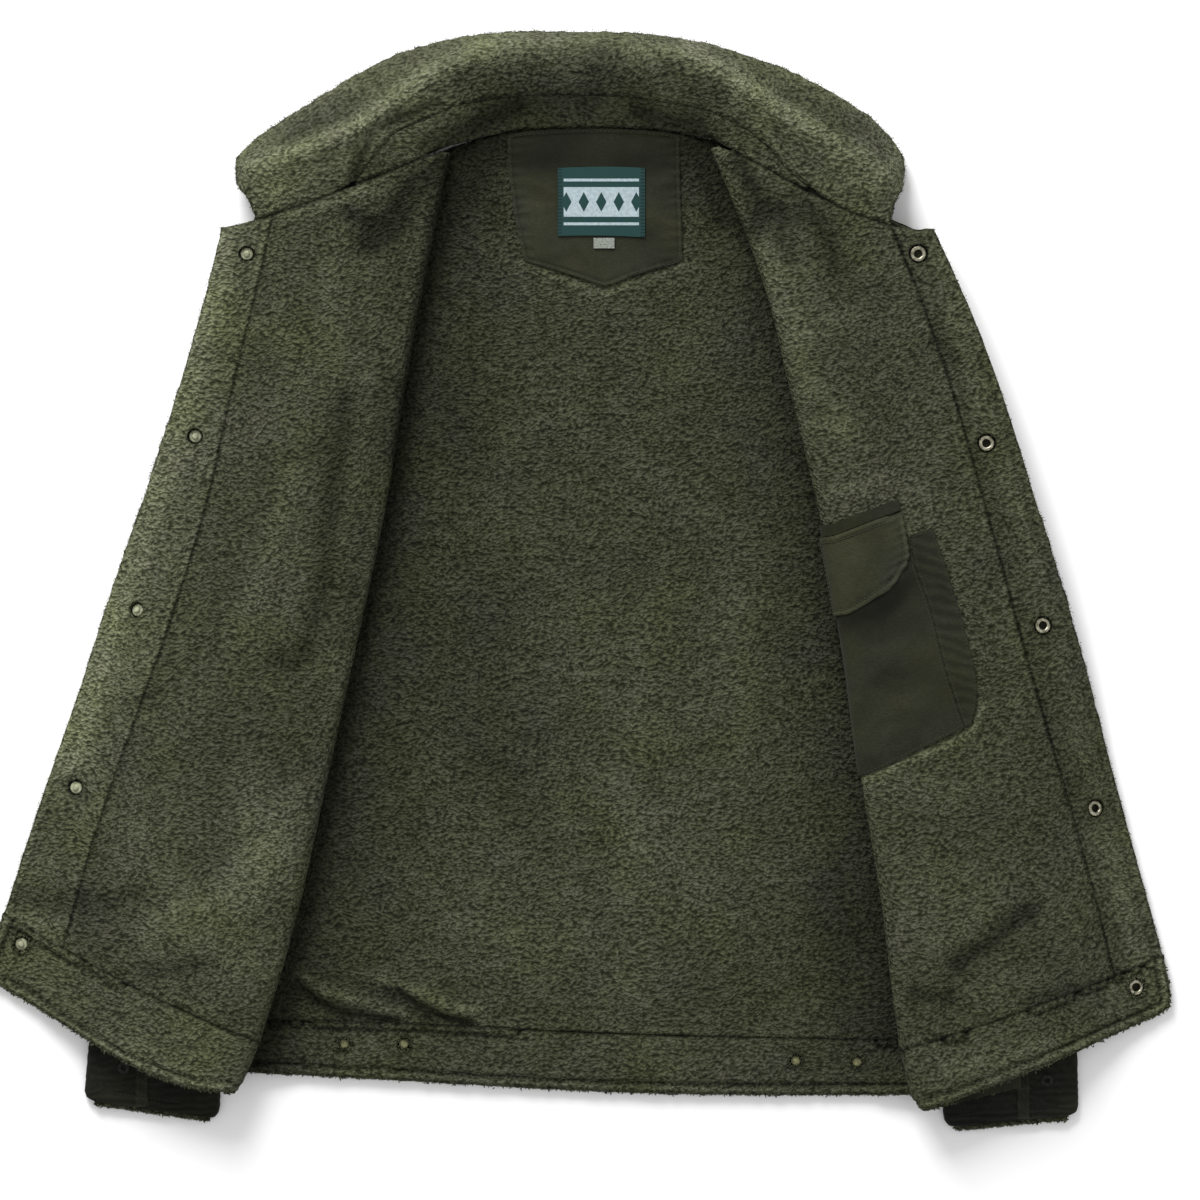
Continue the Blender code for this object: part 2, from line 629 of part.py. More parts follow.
def between(rows, n):
    """Linear step between the rows of a table of tuples."""
    i = min(int(n), len(rows) - 2)
    return [a + (b - a) * (n - i) for a, b in zip(rows[i], rows[i + 1])]


def panel_grid(surface, spans, columns, rows, start):
    """Grid on a panel through rows of plan points."""
    ends = [(*find(surface, span.left_x, span.left_y, *start),
             *find(surface, span.right_x, span.right_y, *start)) for span in spans]
    grid = []
    for n in spread(0, len(spans) - 1, rows):
        left_k, left_t, right_k, right_t = between(ends, n)
        grid.append([(left_k + (right_k - left_k) * f, left_t + (right_t - left_t) * f)
                     for f in spread(0, 1, columns)])
    return grid


def neck_pieces():
    start = (BACK_LINES[-1] / 2, 0.9)
    grid = panel_grid(BACK, NECK_PATCH, PATCH_COLUMNS, PATCH_ROWS, start)
    middle, lower = PATCH_COLUMNS / 2, PATCH_ROWS / 2
    for j, row in enumerate(grid):
        for i, (k, t) in enumerate(row):
            point = PATCH_POINT * (1 - abs(i - middle) / middle) * max(1 - j / lower, 0)
            row[i] = (k, t - point / BACK.up(k, t).length)
    wall("neck_patch", BACK, grid, (ON_PILE, ON_PILE + TRIM), "canvas")
    label = ON_PILE + TRIM + SEAM
    wall("woven_label", BACK, panel_grid(BACK, WOVEN_LABEL, 4, 3, start),
         (label, label + LABEL), "label")
    wall("size_tab", BACK, panel_grid(BACK, SIZE_TAB, 2, 1, start), (label, label + LABEL), "tab")


def fold_grid(surface, rows, cells):
    """Grid from round the fold to a line of plan points, on the panel's own grid lines."""
    ends = []
    for row in rows:
        fold_t = 0.5
        for _ in range(12):
            fold_t += (row.fold_y * MM - surface(K_APEX, fold_t).y) / surface.up(K_APEX, fold_t).y
        ends.append((fold_t, *find(surface, row.right_x, row.right_y, K_TOP + 2, fold_t)))
    last_line = math.ceil(min(end[1] for end in ends) - 0.2)
    grid = []
    for n in spread(0, len(rows) - 1, cells):
        fold_t, k, t = between(ends, n)
        line = [(K_WRAP, fold_t)] + [(c, fold_t) for c in range(math.ceil(K_WRAP), K_TOP + 1)]
        line += [(c, fold_t + (t - fold_t) * (c - K_TOP) / (k - K_TOP))
                 for c in range(K_TOP + 1, last_line)]
        grid.append(line + [(k, t)])
    return grid


def pocket_pieces():
    surface = FRONT[LEFT]
    bag = (ON_PILE, ON_PILE + TRIM)
    flap = (bag[1] + SEAM, bag[1] + SEAM + TRIM)
    wall("pocket_bag", surface, fold_grid(surface, POCKET_BAG, 8), bag, "canvas")
    side = panel_grid(surface, POCKET_SIDE, 2, 8, (K_TOP + 3, 0.45))
    wall("pocket_side", surface, side, bag, "canvas")
    wall("pocket_flap", surface, fold_grid(surface, POCKET_FLAP, 6), flap, "canvas")
    wall("pocket_binding", surface, fold_grid(surface, POCKET_BINDING, 1), bag, "canvas")


def sleeve_piece(side):
    """The hidden layers of a folded sleeve: one flat, rounded body under the jacket."""
    rows, out = SLEEVES[side], OUTWARD[side]
    under, over = [], []
    for y in spread(CUFFS[side].top * MM + SEAM, side_point(side, T_SLEEVE).y, 9):
        outer = curve(rows, "outer", y / MM) * MM * out
        end = curve(rows, "inner", y / MM) * MM * out - SLEEVE_REACH * INNER_SLOPE
        under.append([])
        over.append([])
        for share in SLEEVE_SHARES:
            x = outer + (end - outer) * share
            edge = math.sqrt(1 - (1 - min(share / SLEEVE_ROUND, 1)) ** 2)
            z = max(sleeve_rise(x * out, y) - LAYER, SLEEVE_THIN) * (0.55 + 0.45 * edge)
            under[-1].append(Vector((x * out, y, 0)))
            over[-1].append(Vector((x * out, y, z)))
    return add_piece(f"sleeve_{side}", shell_mesh(f"sleeve_{side}", under, over), "canvas")


def cuff_ring(cuff, y_share, inset, stretch):
    """Ring of a flattened cuff, drawn in from its outer form."""
    outer = Vector((cuff.outer_top, cuff.top)).lerp(Vector((cuff.outer_x, cuff.outer_y)), y_share)
    inner = Vector((cuff.inner_top, cuff.top)).lerp(Vector((cuff.inner_x, cuff.inner_y)), y_share)
    outer, inner = outer * MM, inner * MM
    outer.y -= stretch
    inner.y -= stretch
    radius = CUFF_HEIGHT / 2
    across = (inner - outer).normalized()
    to_opening = (1 - y_share) * (cuff.top - cuff.outer_y) * MM
    corner = max(CUFF_CORNER - to_opening, 0)
    drawn_in = radius + CUFF_CORNER - math.sqrt(CUFF_CORNER ** 2 - corner ** 2)
    outer, inner = outer + across * drawn_in, inner - across * drawn_in
    ring = []
    for centre, start in ((outer, math.pi / 2), (inner, -math.pi / 2)):
        for step in spread(0, math.pi, 4):
            turn = start + step
            reach = across * (math.cos(turn) * (radius - inset))
            ring.append(Vector((centre.x + reach.x, centre.y + reach.y,
                                radius + math.sin(turn) * (radius - inset))))
    return ring


def cuff_tube(name, side, outside, wall_thickness, pile_out, finish):
    """An open flat tube through rings, with an outer and an inner skin."""
    cuff = CUFFS[side]
    places = [(share, 0.0) for share in CUFF_SHARES]
    if pile_out:
        places.append((1.0, pile_out))
    mesh = bmesh.new()
    skins = []
    for inset in (outside, outside + wall_thickness):
        skin = [[mesh.verts.new(p) for p in cuff_ring(cuff, share, inset, stretch)]
                for share, stretch in places]
        skins.append(skin)
    count = len(skins[0][0])
    for skin in skins:
        for low, high in zip(skin, skin[1:]):
            for i in range(count):
                n = (i + 1) % count
                mesh.faces.new((low[i], low[n], high[n], high[i]))
    for end in (0, -1):
        for i in range(count):
            n = (i + 1) % count
            mesh.faces.new((skins[0][end][i], skins[0][end][n], skins[1][end][n],
                            skins[1][end][i]))
    bmesh.ops.recalc_face_normals(mesh, faces=mesh.faces)
    data = bpy.data.meshes.new(name)
    mesh.to_mesh(data)
    mesh.free()
    return add_piece(name, data, finish)


def cuff_pieces(side):
    cuff = CUFFS[side]
    cuff_tube(f"cuff_{side}", side, 0.0, CUFF_WALL, 0.0, "canvas")
    cuff_tube(f"cuff_lining_{side}", side, CUFF_WALL + SEAM, CUFF_LINING, CUFF_PILE_OUT, "sherpa")
    share = (cuff.strip - cuff.outer_x) / (cuff.inner_x - cuff.outer_x)
    opening = cuff.outer_y + (cuff.inner_y - cuff.outer_y) * share
    low, high = CUFF_HEIGHT + SEAM, CUFF_HEIGHT + SEAM + 0.9 * MM
    skins = []
    for z in (low, high):
        skins.append([[Vector((cuff.strip * MM + w, y * MM, z))
                       for w in spread(-CUFF_STRIP_WIDTH / 2, CUFF_STRIP_WIDTH / 2, 2)]
                      for y in spread(opening + 1, cuff.top - 2, 3)])
    add_piece(f"cuff_strip_{side}", shell_mesh(f"cuff_strip_{side}", *skins), "canvas")
    x, y = CUFF_SNAPS[side]
    seat = Matrix.Translation((x * MM, y * MM, low))
    turned(f"cuff_snap_{side}", SNAP_PROFILES["cuff"], "brass", seat)


def snap_seat(surface, k, t):
    """Where a snap sits: square to the canvas and clear of it all round its foot."""
    point, square = surface(k, t), surface.normal(k, t)
    over = (surface.facet(k, t) - point).dot(square)
    for step in range(SNAP_SIDES):
        turn = math.tau * step / SNAP_SIDES
        across = SNAP_FOOT * math.cos(turn) / surface.along(k, t).length
        along = SNAP_FOOT * math.sin(turn) / surface.up(k, t).length
        near = surface.facet(k + across, max(t + along, 0.0))
        over = max(over, (near - point).dot(square))
    frame = square.to_track_quat("Z", "Y").to_matrix().to_4x4()
    return Matrix.Translation(point + square * (over + SNAP_SEAT)) @ frame


def snap_pieces(hosts):
    """Snaps on their canvas, each in a round seat through the pile."""
    for snap in SNAPS:
        if snap.host == "back":
            surface, start = BACK, (BACK_LINES[-1] / 2, 0.05)
        else:
            surface, start = FRONT[snap.host], (K_PLACKET + 1.5, 0.5)
        k, t = find(surface, snap.x, snap.y, *start)
        seat = snap_seat(surface, k, t)
        cut_hole(hosts[snap.host][0 if t > T_BAND else 1], seat, snap.hole * MM)
        turned(snap.name, SNAP_PROFILES[snap.profile], "brass", seat)


def centre_on_origin():
    """Moves the stand so that the origin is under the middle of the jacket's box."""
    bpy.context.view_layer.update()
    graph = bpy.context.evaluated_depsgraph_get()
    points = []
    for piece in JACKET.objects:
        shape = piece.evaluated_get(graph)
        points += [shape.matrix_world @ v.co for v in shape.data.vertices]
    low = Vector([min(p[i] for p in points) for i in range(3)])
    high = Vector([max(p[i] for p in points) for i in range(3)])
    STAND.location = (-(low.x + high.x) / 2, -(low.y + high.y) / 2, -low.z)


clear_scene()
JACKET = new_collection("sherpa_lined_jacket")
CUTTERS = new_collection("cutters")
STAND = bpy.data.objects.new("jacket_stand", None)
bpy.context.scene.collection.objects.link(STAND)

back_band = back_pieces()
seats = {"back": (back_band, back_band)}
for side in (LEFT, RIGHT):
    seats[side] = front_pieces(side)
    sleeve_piece(side)
    cuff_pieces(side)
collar_pieces()
neck_pieces()
pocket_pieces()
snap_pieces(seats)
centre_on_origin()
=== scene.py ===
# %% [markdown]
# # Sherpa lined jacket, laid open
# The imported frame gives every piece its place. Each cloth piece here starts from its own solid,
# is divided along smooth curves, and gets its pile, creases, stitches and colour in code.
# %% Load the frame
import math
from collections import namedtuple

import bmesh
import bpy
import numpy as np
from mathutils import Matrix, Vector
from mathutils.bvhtree import BVHTree
from mathutils.kdtree import KDTree


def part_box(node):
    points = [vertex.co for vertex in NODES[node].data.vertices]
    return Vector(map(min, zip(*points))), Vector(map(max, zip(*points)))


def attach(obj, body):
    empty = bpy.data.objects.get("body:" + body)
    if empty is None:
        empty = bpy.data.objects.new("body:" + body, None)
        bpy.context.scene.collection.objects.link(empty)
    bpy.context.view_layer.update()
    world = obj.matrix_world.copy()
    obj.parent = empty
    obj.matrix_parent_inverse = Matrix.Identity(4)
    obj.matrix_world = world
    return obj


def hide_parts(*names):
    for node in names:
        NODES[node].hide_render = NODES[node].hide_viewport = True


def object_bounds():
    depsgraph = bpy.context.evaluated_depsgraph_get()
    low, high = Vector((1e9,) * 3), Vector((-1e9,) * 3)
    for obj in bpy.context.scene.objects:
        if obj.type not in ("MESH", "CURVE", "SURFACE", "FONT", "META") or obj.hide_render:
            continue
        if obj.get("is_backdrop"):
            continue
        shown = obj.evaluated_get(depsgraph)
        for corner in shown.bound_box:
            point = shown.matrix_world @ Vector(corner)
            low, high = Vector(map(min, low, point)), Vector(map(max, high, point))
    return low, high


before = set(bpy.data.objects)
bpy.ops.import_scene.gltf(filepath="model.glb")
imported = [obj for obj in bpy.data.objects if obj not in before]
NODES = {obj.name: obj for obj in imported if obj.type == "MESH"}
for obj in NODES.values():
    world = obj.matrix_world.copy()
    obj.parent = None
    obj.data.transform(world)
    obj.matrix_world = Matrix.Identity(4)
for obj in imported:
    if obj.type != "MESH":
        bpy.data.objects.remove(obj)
cad_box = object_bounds()
MM = 0.001
print(len(NODES), "nodes")


def place_in_scene(thing):
    bpy.context.scene.collection.objects.link(thing)
    return thing



# %% [markdown]
# ## Camera, floor and light
# The camera looks straight down with a long lens, so nothing spreads towards the picture's
# edges. The floor is white. The key light is a wide soft box beyond the collar, a little left,
# so that shadows fall softly below the hem; the sky fills them.
# %% Camera
VIEW_CENTRE = Vector((16.6, -14.5, 14.0)) * MM
VIEW_WIDTH = 864 * MM
CAMERA_HEIGHT = 4.0

camera = place_in_scene(bpy.data.objects.new("camera", bpy.data.cameras.new("camera")))
camera.location = VIEW_CENTRE + Vector((0, 0, CAMERA_HEIGHT))
camera.data.sensor_width = 36
camera.data.lens = 36 * CAMERA_HEIGHT / VIEW_WIDTH
camera.data.clip_end = 50
bpy.context.scene.camera = camera
bpy.context.scene.view_settings.view_transform = "Standard"
print(f"lens {camera.data.lens:.0f} mm")


# %% Light
def area_light(name, place, size, power):
    light = place_in_scene(bpy.data.objects.new(name, bpy.data.lights.new(name, "AREA")))
    light.data.size = size
    light.data.energy = power
    light.location = place
    light.rotation_euler = (-Vector(place)).to_track_quat("-Z", "Y").to_euler()


area_light("key", place=(-0.9, 2.55, 1.65), size=1.5, power=134)
area_light("fill", place=(1.4, -1.6, 2.6), size=2.2, power=5)

SKY = 0.70
world = bpy.data.worlds.new("studio")
bpy.context.scene.world = world
world.use_nodes = True
background = world.node_tree.nodes["Background"].inputs
background["Color"].default_value = (1.0, 1.0, 1.0, 1.0)
background["Strength"].default_value = SKY


# %% [markdown]
# ## Material helpers
# A shader is a tree of nodes. These helpers add a node and link or set its inputs in one line,
# so that a finish reads from its coordinates to its colour.
# %% Shader nodes
def add(tree, kind, inputs=None, **settings):
    """A node with its settings, and its inputs linked or set."""
    node = tree.nodes.new(kind)
    for key, value in settings.items():
        setattr(node, key, value)
    for key, value in (inputs or {}).items():
        if isinstance(value, bpy.types.NodeSocket):
            tree.links.new(value, node.inputs[key])
        else:
            node.inputs[key].default_value = value
    return node


def maths(tree, operation, a, b=0.0, c=0.0):
    return add(tree, "ShaderNodeMath", {0: a, 1: b, 2: c}, operation=operation).outputs[0]


def noise(tree, vector, scale, detail=2.0, roughness=0.5):
    """Noise with scale lumps to the metre."""
    return add(tree, "ShaderNodeTexNoise", {"Vector": vector, "Scale": scale, "Detail": detail,
                                            "Roughness": roughness})


def remap(tree, value, a, b, c, d):
    return add(tree, "ShaderNodeMapRange", {0: value, 1: a, 2: b, 3: c, 4: d}).outputs[0]


def ramp(tree, value, *stops):
    node = add(tree, "ShaderNodeValToRGB", {0: value})
    elements = node.color_ramp.elements
    while len(elements) < len(stops):
        elements.new(0.5)
    for element, (position, colour) in zip(elements, stops):
        element.position = position
        element.color = (*colour, 1.0)
    return node.outputs[0]


def vector_maths(tree, operation, a, b=(0, 0, 0), c=(0, 0, 0)):
    return add(tree, "ShaderNodeVectorMath", {0: a, 1: b, 2: c}, operation=operation).outputs[0]


def scaled(tree, colour, value):
    return add(tree, "ShaderNodeVectorMath", {0: colour, 3: value}, operation="SCALE").outputs[0]


def attribute(tree, name):
    return add(tree, "ShaderNodeAttribute", attribute_name=name).outputs["Fac"]


def object_place(tree):
    return add(tree, "ShaderNodeTexCoord").outputs["Object"]


def tinted(colour, *factors):
    """A colour times one factor, or one for each of its channels."""
    return tuple(np.multiply(colour, factors).tolist())


def material(name, roughness, metallic=0.0, specular=0.1, sheen=0.0):
    made = bpy.data.materials.new(name)
    made.use_nodes = True
    shader = made.node_tree.nodes["Principled BSDF"]
    for key, value in (("Roughness", roughness), ("Metallic", metallic),
                       ("Specular IOR Level", specular), ("Sheen Weight", sheen)):
        shader.inputs[key].default_value = value
    return made, made.node_tree, shader


def finish_surface(tree, shader, colour, height, distance, strength=1.0):
    """Colour and small relief, linked to the shader."""
    relief = add(tree, "ShaderNodeBump", {"Height": height, "Distance": distance,
                                          "Strength": strength})
    tree.links.new(colour, shader.inputs["Base Color"])
    tree.links.new(relief.outputs[0], shader.inputs["Normal"])


# %% Floor
FLOOR_SIZE, FLOOR_GAP = 4.0, 0.2 * MM
floor_material, tree, shader = material("floor", 0.9, specular=0.0)
shader.inputs["Base Color"].default_value = (0.93, 0.93, 0.93, 1.0)
floor = bpy.data.meshes.new("floor")
floor.from_pydata([(x * FLOOR_SIZE, y * FLOOR_SIZE, 0)
                   for x, y in ((-1, -1), (1, -1), (1, 1), (-1, 1))], [], [(0, 1, 2, 3)])
floor.materials.append(floor_material)
floor = place_in_scene(bpy.data.objects.new("floor", floor))
floor.location.z = cad_box[0].z - FLOOR_GAP
floor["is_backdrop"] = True


# %% [markdown]
# ## Sherpa
# Sherpa is a short pile, curled into crumbs some 2 to 3 mm across. A shader can draw them as
# cells or as noise: cells alone look cracked and noise alone looks smooth, so both are used.
# They are warped twice, and drawn a little wide, because the curls lie across the knit. Broader
# noise gives clumps and rows. The gaps between curls are dark and their tips pale.
# Two attributes come from the mesh, and both are painted light and shade: one darkens the pile as
# painted shade where it is pulled down into a seam, a stitch row or round a snap, and the other
# paints light on ridges and rolls and shade in hollows and where folds and the collar cast it.
# %% Sherpa material
PILE_TIP, PILE_MIDDLE = (0.084, 0.090, 0.056), (0.048, 0.052, 0.029)
PILE_GAP = (0.019, 0.021, 0.011)
PILE_RELIEF, PILE_WIDE = 2.2 * MM, 1.14
DRIFT, TWIST = (14.0, 0.013), (110.0, 0.004)    # warps: waves to the metre, and their reach
CURLS = 0.82                                    # for each crumb
CLUMPS, PATCHES, HUES = 95.0, 13.0, 21.0        # to the metre
KNIT = (34.0, 250.0, 60.0)                      # to the metre, along X, Y and Z
CELL_SHARE, CURL_SHARE, CLUMP_SHARE, GROOVE_SHADE_SHARE = -0.85, 1.55, 0.16, -0.25


def warped(tree, place, scale, amount):
    shift = noise(tree, place, scale).outputs["Color"]
    return vector_maths(tree, "MULTIPLY_ADD", shift, (amount,) * 3, place)


def sherpa(name, tone, rows, crumbs):
    """Pile made lighter or darker for its piece as painted light and shade, with crumbs to the
    metre, and with more or less of the knit's rows.
    """
    made, tree, shader = material(name, 1.0)
    place = object_place(tree)
    drift = warped(tree, place, *DRIFT)
    twist = warped(tree, drift, *TWIST)
    across = vector_maths(tree, "MULTIPLY", twist, (1 / PILE_WIDE, PILE_WIDE, 1.0))
    cell = add(tree, "ShaderNodeTexVoronoi", {"Vector": across, "Scale": crumbs,
                                              "Smoothness": 0.35}, feature="SMOOTH_F1")
    curl = noise(tree, across, CURLS * crumbs, detail=1.0).outputs[0]
    clump = noise(tree, drift, CLUMPS, roughness=0.6).outputs[0]
    line = vector_maths(tree, "MULTIPLY", drift, KNIT)
    line = noise(tree, line, 1.0, roughness=0.6).outputs[0]
    pile = 0.09 - 0.5 * rows
    # The last layer darkens the pile as painted shade in seams, stitch rows and round snaps.
    for layer, share in ((cell.outputs["Distance"], CELL_SHARE), (curl, CURL_SHARE),
                         (clump, CLUMP_SHARE), (line, rows),
                         (attribute(tree, "gap"), GROOVE_SHADE_SHARE)):
        pile = maths(tree, "MULTIPLY_ADD", layer, share, pile)
    colour = ramp(tree, pile, (0.10, PILE_GAP), (0.50, PILE_MIDDLE), (0.92, PILE_TIP))
    broad = noise(tree, place, PATCHES, detail=4.0, roughness=0.55).outputs[0]
    patch = remap(tree, broad, 0.3, 0.7, 0.86 * tone, 1.24 * tone)
    # That painted shade darkens the colour too, and the painted light and shade from the mesh
    # scale it.
    gap = maths(tree, "MULTIPLY_ADD", attribute(tree, "gap"), -0.72, 1.0)
    patch = maths(tree, "MULTIPLY", maths(tree, "MULTIPLY", patch, gap), attribute(tree, "tone"))
    hue = ramp(tree, noise(tree, place, HUES).outputs[0],
               (0.3, (1.04, 1.0, 1.12)), (0.7, (0.98, 1.01, 0.88)))
    colour = vector_maths(tree, "MULTIPLY", scaled(tree, colour, patch), hue)
    finish_surface(tree, shader, colour, pile, PILE_RELIEF)
    return made


# %% [markdown]
# ## Canvas
# The shell is washed cotton canvas: fine diagonal ribs, uneven yarn, soft fading. A picture of
# cloth could show that, but a wave and noise need no file and never repeat. An attribute paints
# shade into its hollows and grooves and light onto its raised edges.
# %% Canvas material
RIBS, YARNS, CLOUDS, GREENS = 330.0, 420.0, 26.0, 17.0     # to the metre
RIB_TURN, FADE = 0.95, 0.30
CANVAS_RELIEF = 0.28 * MM


def canvas(name, colour):
    made, tree, shader = material(name, 0.9, specular=0.12, sheen=0.04)
    place = object_place(tree)
    turned = add(tree, "ShaderNodeMapping", {"Vector": place, "Rotation": (0.0, 0.0, RIB_TURN)})
    rib = add(tree, "ShaderNodeTexWave", {"Vector": turned.outputs[0], "Scale": RIBS,
                                          "Distortion": 2.0, "Detail": 2.0, "Detail Scale": 2.0})
    drawn = vector_maths(tree, "MULTIPLY", place, (1.0, 2.6, 1.0))
    yarn = noise(tree, drawn, YARNS, detail=3.0, roughness=0.6)
    cloud = noise(tree, place, CLOUDS, detail=5.0, roughness=0.62).outputs[0]
    shade = remap(tree, cloud, 0.3, 0.7, 1.0 - FADE, 1.0 + FADE)
    grain = remap(tree, yarn.outputs[0], 0.3, 0.7, 0.74, 1.26)
    grain = maths(tree, "MULTIPLY", grain, remap(tree, rib.outputs["Fac"], 0.0, 1.0, 0.9, 1.1))
    shade = maths(tree, "MULTIPLY", maths(tree, "MULTIPLY", shade, grain), attribute(tree, "tone"))
    green = ramp(tree, noise(tree, place, GREENS).outputs[0],
                 (0.35, tinted(colour, 0.97, 1.0, 1.12)), (0.65, tinted(colour, 1.04, 1.02, 0.86)))
    height = maths(tree, "MULTIPLY_ADD", rib.outputs["Fac"], 0.5, yarn.outputs[0])
    finish_surface(tree, shader, scaled(tree, green, shade), height, CANVAS_RELIEF, 0.8)
    return made


# %% [markdown]
# ## From a solid to fine cloth
# A solid's facets are chords of smooth curves. A Subdivision Surface would smooth them, but it
# draws the outline in from the solid's own points. Here these points stay, and dividing an edge
# puts its new point on the curve that its two ends' normals give. Sharp edges stay sharp:
# there the mesh is split into corners that share a point but not a normal. Large faces weigh
# more in a normal, so flat parts stay flat.
# %% Fine cloth
SHARP = math.radians(50)
MERGE = 2e-6                    # solids' triangles share their corners within this, in metres
MOST_LIFT = 1.2 * MM            # a new point leaves its chord by no more


def unit(vectors):
    return vectors / np.maximum(np.linalg.norm(vectors, axis=-1, keepdims=True), 1e-12)


def part_along(vectors, directions):
    """The part of each vector that lies along its direction."""
    return (vectors * directions).sum(1, keepdims=True) * directions


class Cloth:
    """Points, and triangles of corners; each corner has a point and a normal."""

    def __init__(self, node):
        mesh = bmesh.new()
        mesh.from_mesh(NODES[node].data)
        bmesh.ops.remove_doubles(mesh, verts=mesh.verts, dist=MERGE)
        bmesh.ops.triangulate(mesh, faces=mesh.faces)
        point = mesh.verts.layers.int.new("point")
        self.points = np.array([v.co for v in mesh.verts])
        for vert in mesh.verts:
            vert[point] = vert.index
        sharp = [e for e in mesh.edges if e.calc_face_angle(0.0) > SHARP]
        bmesh.ops.split_edges(mesh, edges=sharp)
        mesh.verts.index_update()
        self.point_of = np.array([v[point] for v in mesh.verts])
        self.faces = np.array([[v.index for v in f.verts] for f in mesh.faces])
        self.limit = np.full(len(self.faces), 1.0)
        mesh.free()
        self.normals = np.zeros((len(self.point_of), 3))
        np.add.at(self.normals, self.faces, self.areas()[:, None])
        self.normals = unit(self.normals)

    def corners(self):
        return self.points[self.point_of[self.faces]]

    def centres(self):
        return self.corners().mean(axis=1)

    def areas(self):
        """A vector square to each face, as long as twice its area."""
        a, b, c = (self.corners()[:, i] for i in range(3))
        return np.cross(b - a, c - a)

    def divide(self):
        """Halves every edge that is longer than its faces' limit. True if there was one."""
        sides = np.stack([self.faces, np.roll(self.faces, -1, axis=1)], axis=2).reshape(-1, 2)
        sides.sort(axis=1)
        edges, face_edge = np.unique(sides, axis=0, return_inverse=True)
        face_edge = face_edge.reshape(-1, 3)
        pairs = np.sort(self.point_of[edges], axis=1)
        chords, chord_of = np.unique(pairs, axis=0, return_inverse=True)
        chord_of = chord_of.reshape(-1)
        ends = self.points[chords]
        length = np.linalg.norm(ends[:, 1] - ends[:, 0], axis=1)
        limit = np.full(len(chords), 1e9)
        np.minimum.at(limit, chord_of[face_edge].ravel(), np.repeat(self.limit, 3))
        long = length > limit
        if not long.any():
            return False
        a, b = (self.points[self.point_of[edges[:, i]]] for i in (0, 1))
        na, nb = (self.normals[edges[:, i]] for i in (0, 1))
        lift = (part_along(b - a, na) - part_along(b - a, nb)) / 8    # a cubic, off its chord
        size = np.linalg.norm(lift, axis=1, keepdims=True)
        lift *= np.minimum(1.0, MOST_LIFT / np.maximum(size, 1e-9))
        middle = ends.mean(axis=1)
        np.add.at(middle, chord_of, -lift)
        new_point = np.full(len(chords), -1)
        new_point[long] = len(self.points) + np.arange(long.sum())
        self.points = np.vstack([self.points, middle[long]])
        cut = long[chord_of]
        new_corner = np.full(len(edges), -1)
        new_corner[cut] = len(self.normals) + np.arange(cut.sum())
        self.normals = np.vstack([self.normals, unit((na + nb)[cut])])
        self.point_of = np.append(self.point_of, new_point[chord_of[cut]])
        self.split_faces(new_corner[face_edge])
        return True

    def split_faces(self, middles):
        """New triangles; middles has the new corner on each side of a face, or -1."""
        count = (middles >= 0).sum(axis=1)
        faces, limits = [self.faces[count == 0]], [self.limit[count == 0]]
        for wanted in (1, 2, 3):
            pick = count == wanted
            face, middle = self.faces[pick], middles[pick]
            turn = {1: np.argmax(middle >= 0, axis=1), 2: (np.argmin(middle >= 0, axis=1) + 1) % 3,
                    3: np.zeros(len(face), int)}[wanted]
            order = (np.arange(3)[None] + turn[:, None]) % 3
            v = np.take_along_axis(face, order, 1).T
            m = np.take_along_axis(middle, order, 1).T
            made = {1: [(v[0], m[0], v[2]), (m[0], v[1], v[2])],
                    2: [(m[0], v[1], m[1]), (v[0], m[0], m[1]), (v[0], m[1], v[2])],
                    3: [(v[0], m[0], m[2]), (m[0], v[1], m[1]), (m[2], m[1], v[2]),
                        (m[0], m[1], m[2])]}[wanted]
            for triangle in made:
                faces.append(np.stack(triangle, axis=1))
                limits.append(self.limit[pick])
        self.faces, self.limit = np.vstack(faces), np.concatenate(limits)

    def refine(self, limit):
        self.limit = np.broadcast_to(limit, len(self.faces)).astype(float)
        while self.divide():
            pass

    def rims(self):
        """Points on the sharp edges."""
        return np.flatnonzero(np.bincount(self.point_of, minlength=len(self.points)) > 1)

    def point_normals(self):
        total = np.zeros_like(self.points)
        np.add.at(total, self.point_of, self.normals)
        return unit(total)

    def share(self, marked):
        """For each point, the share of its faces that are marked."""
        total, count = np.zeros(len(self.points)), np.zeros(len(self.points))
        index = self.point_of[self.faces].ravel()
        np.add.at(total, index, np.repeat(marked.astype(float), 3))
        np.add.at(count, index, 1.0)
        return total / np.maximum(count, 1)


# %% [markdown]
# ## A finished piece
# A piece is made once its cloth has its last shape. Numbers on its points, such as its painted
# light and shade, go along as attributes that its shader reads. It rides on the body, and it
# replaces the solid that it was made from, so the two never show together.
# %% Finished piece
SHARP_SHADING = math.radians(60)


def point_layer(mesh, key, values):
    """Gives a mesh's points a number each, or a vector each where values has rows of three."""
    vectors = np.ndim(values) == 2
    layer = mesh.attributes.new(key, "FLOAT_VECTOR" if vectors else "FLOAT", "POINT")
    shape = (len(mesh.vertices), 3) if vectors else len(mesh.vertices)
    values = np.broadcast_to(values, shape).astype(np.float32)
    layer.data.foreach_set("vector" if vectors else "value", values.ravel())


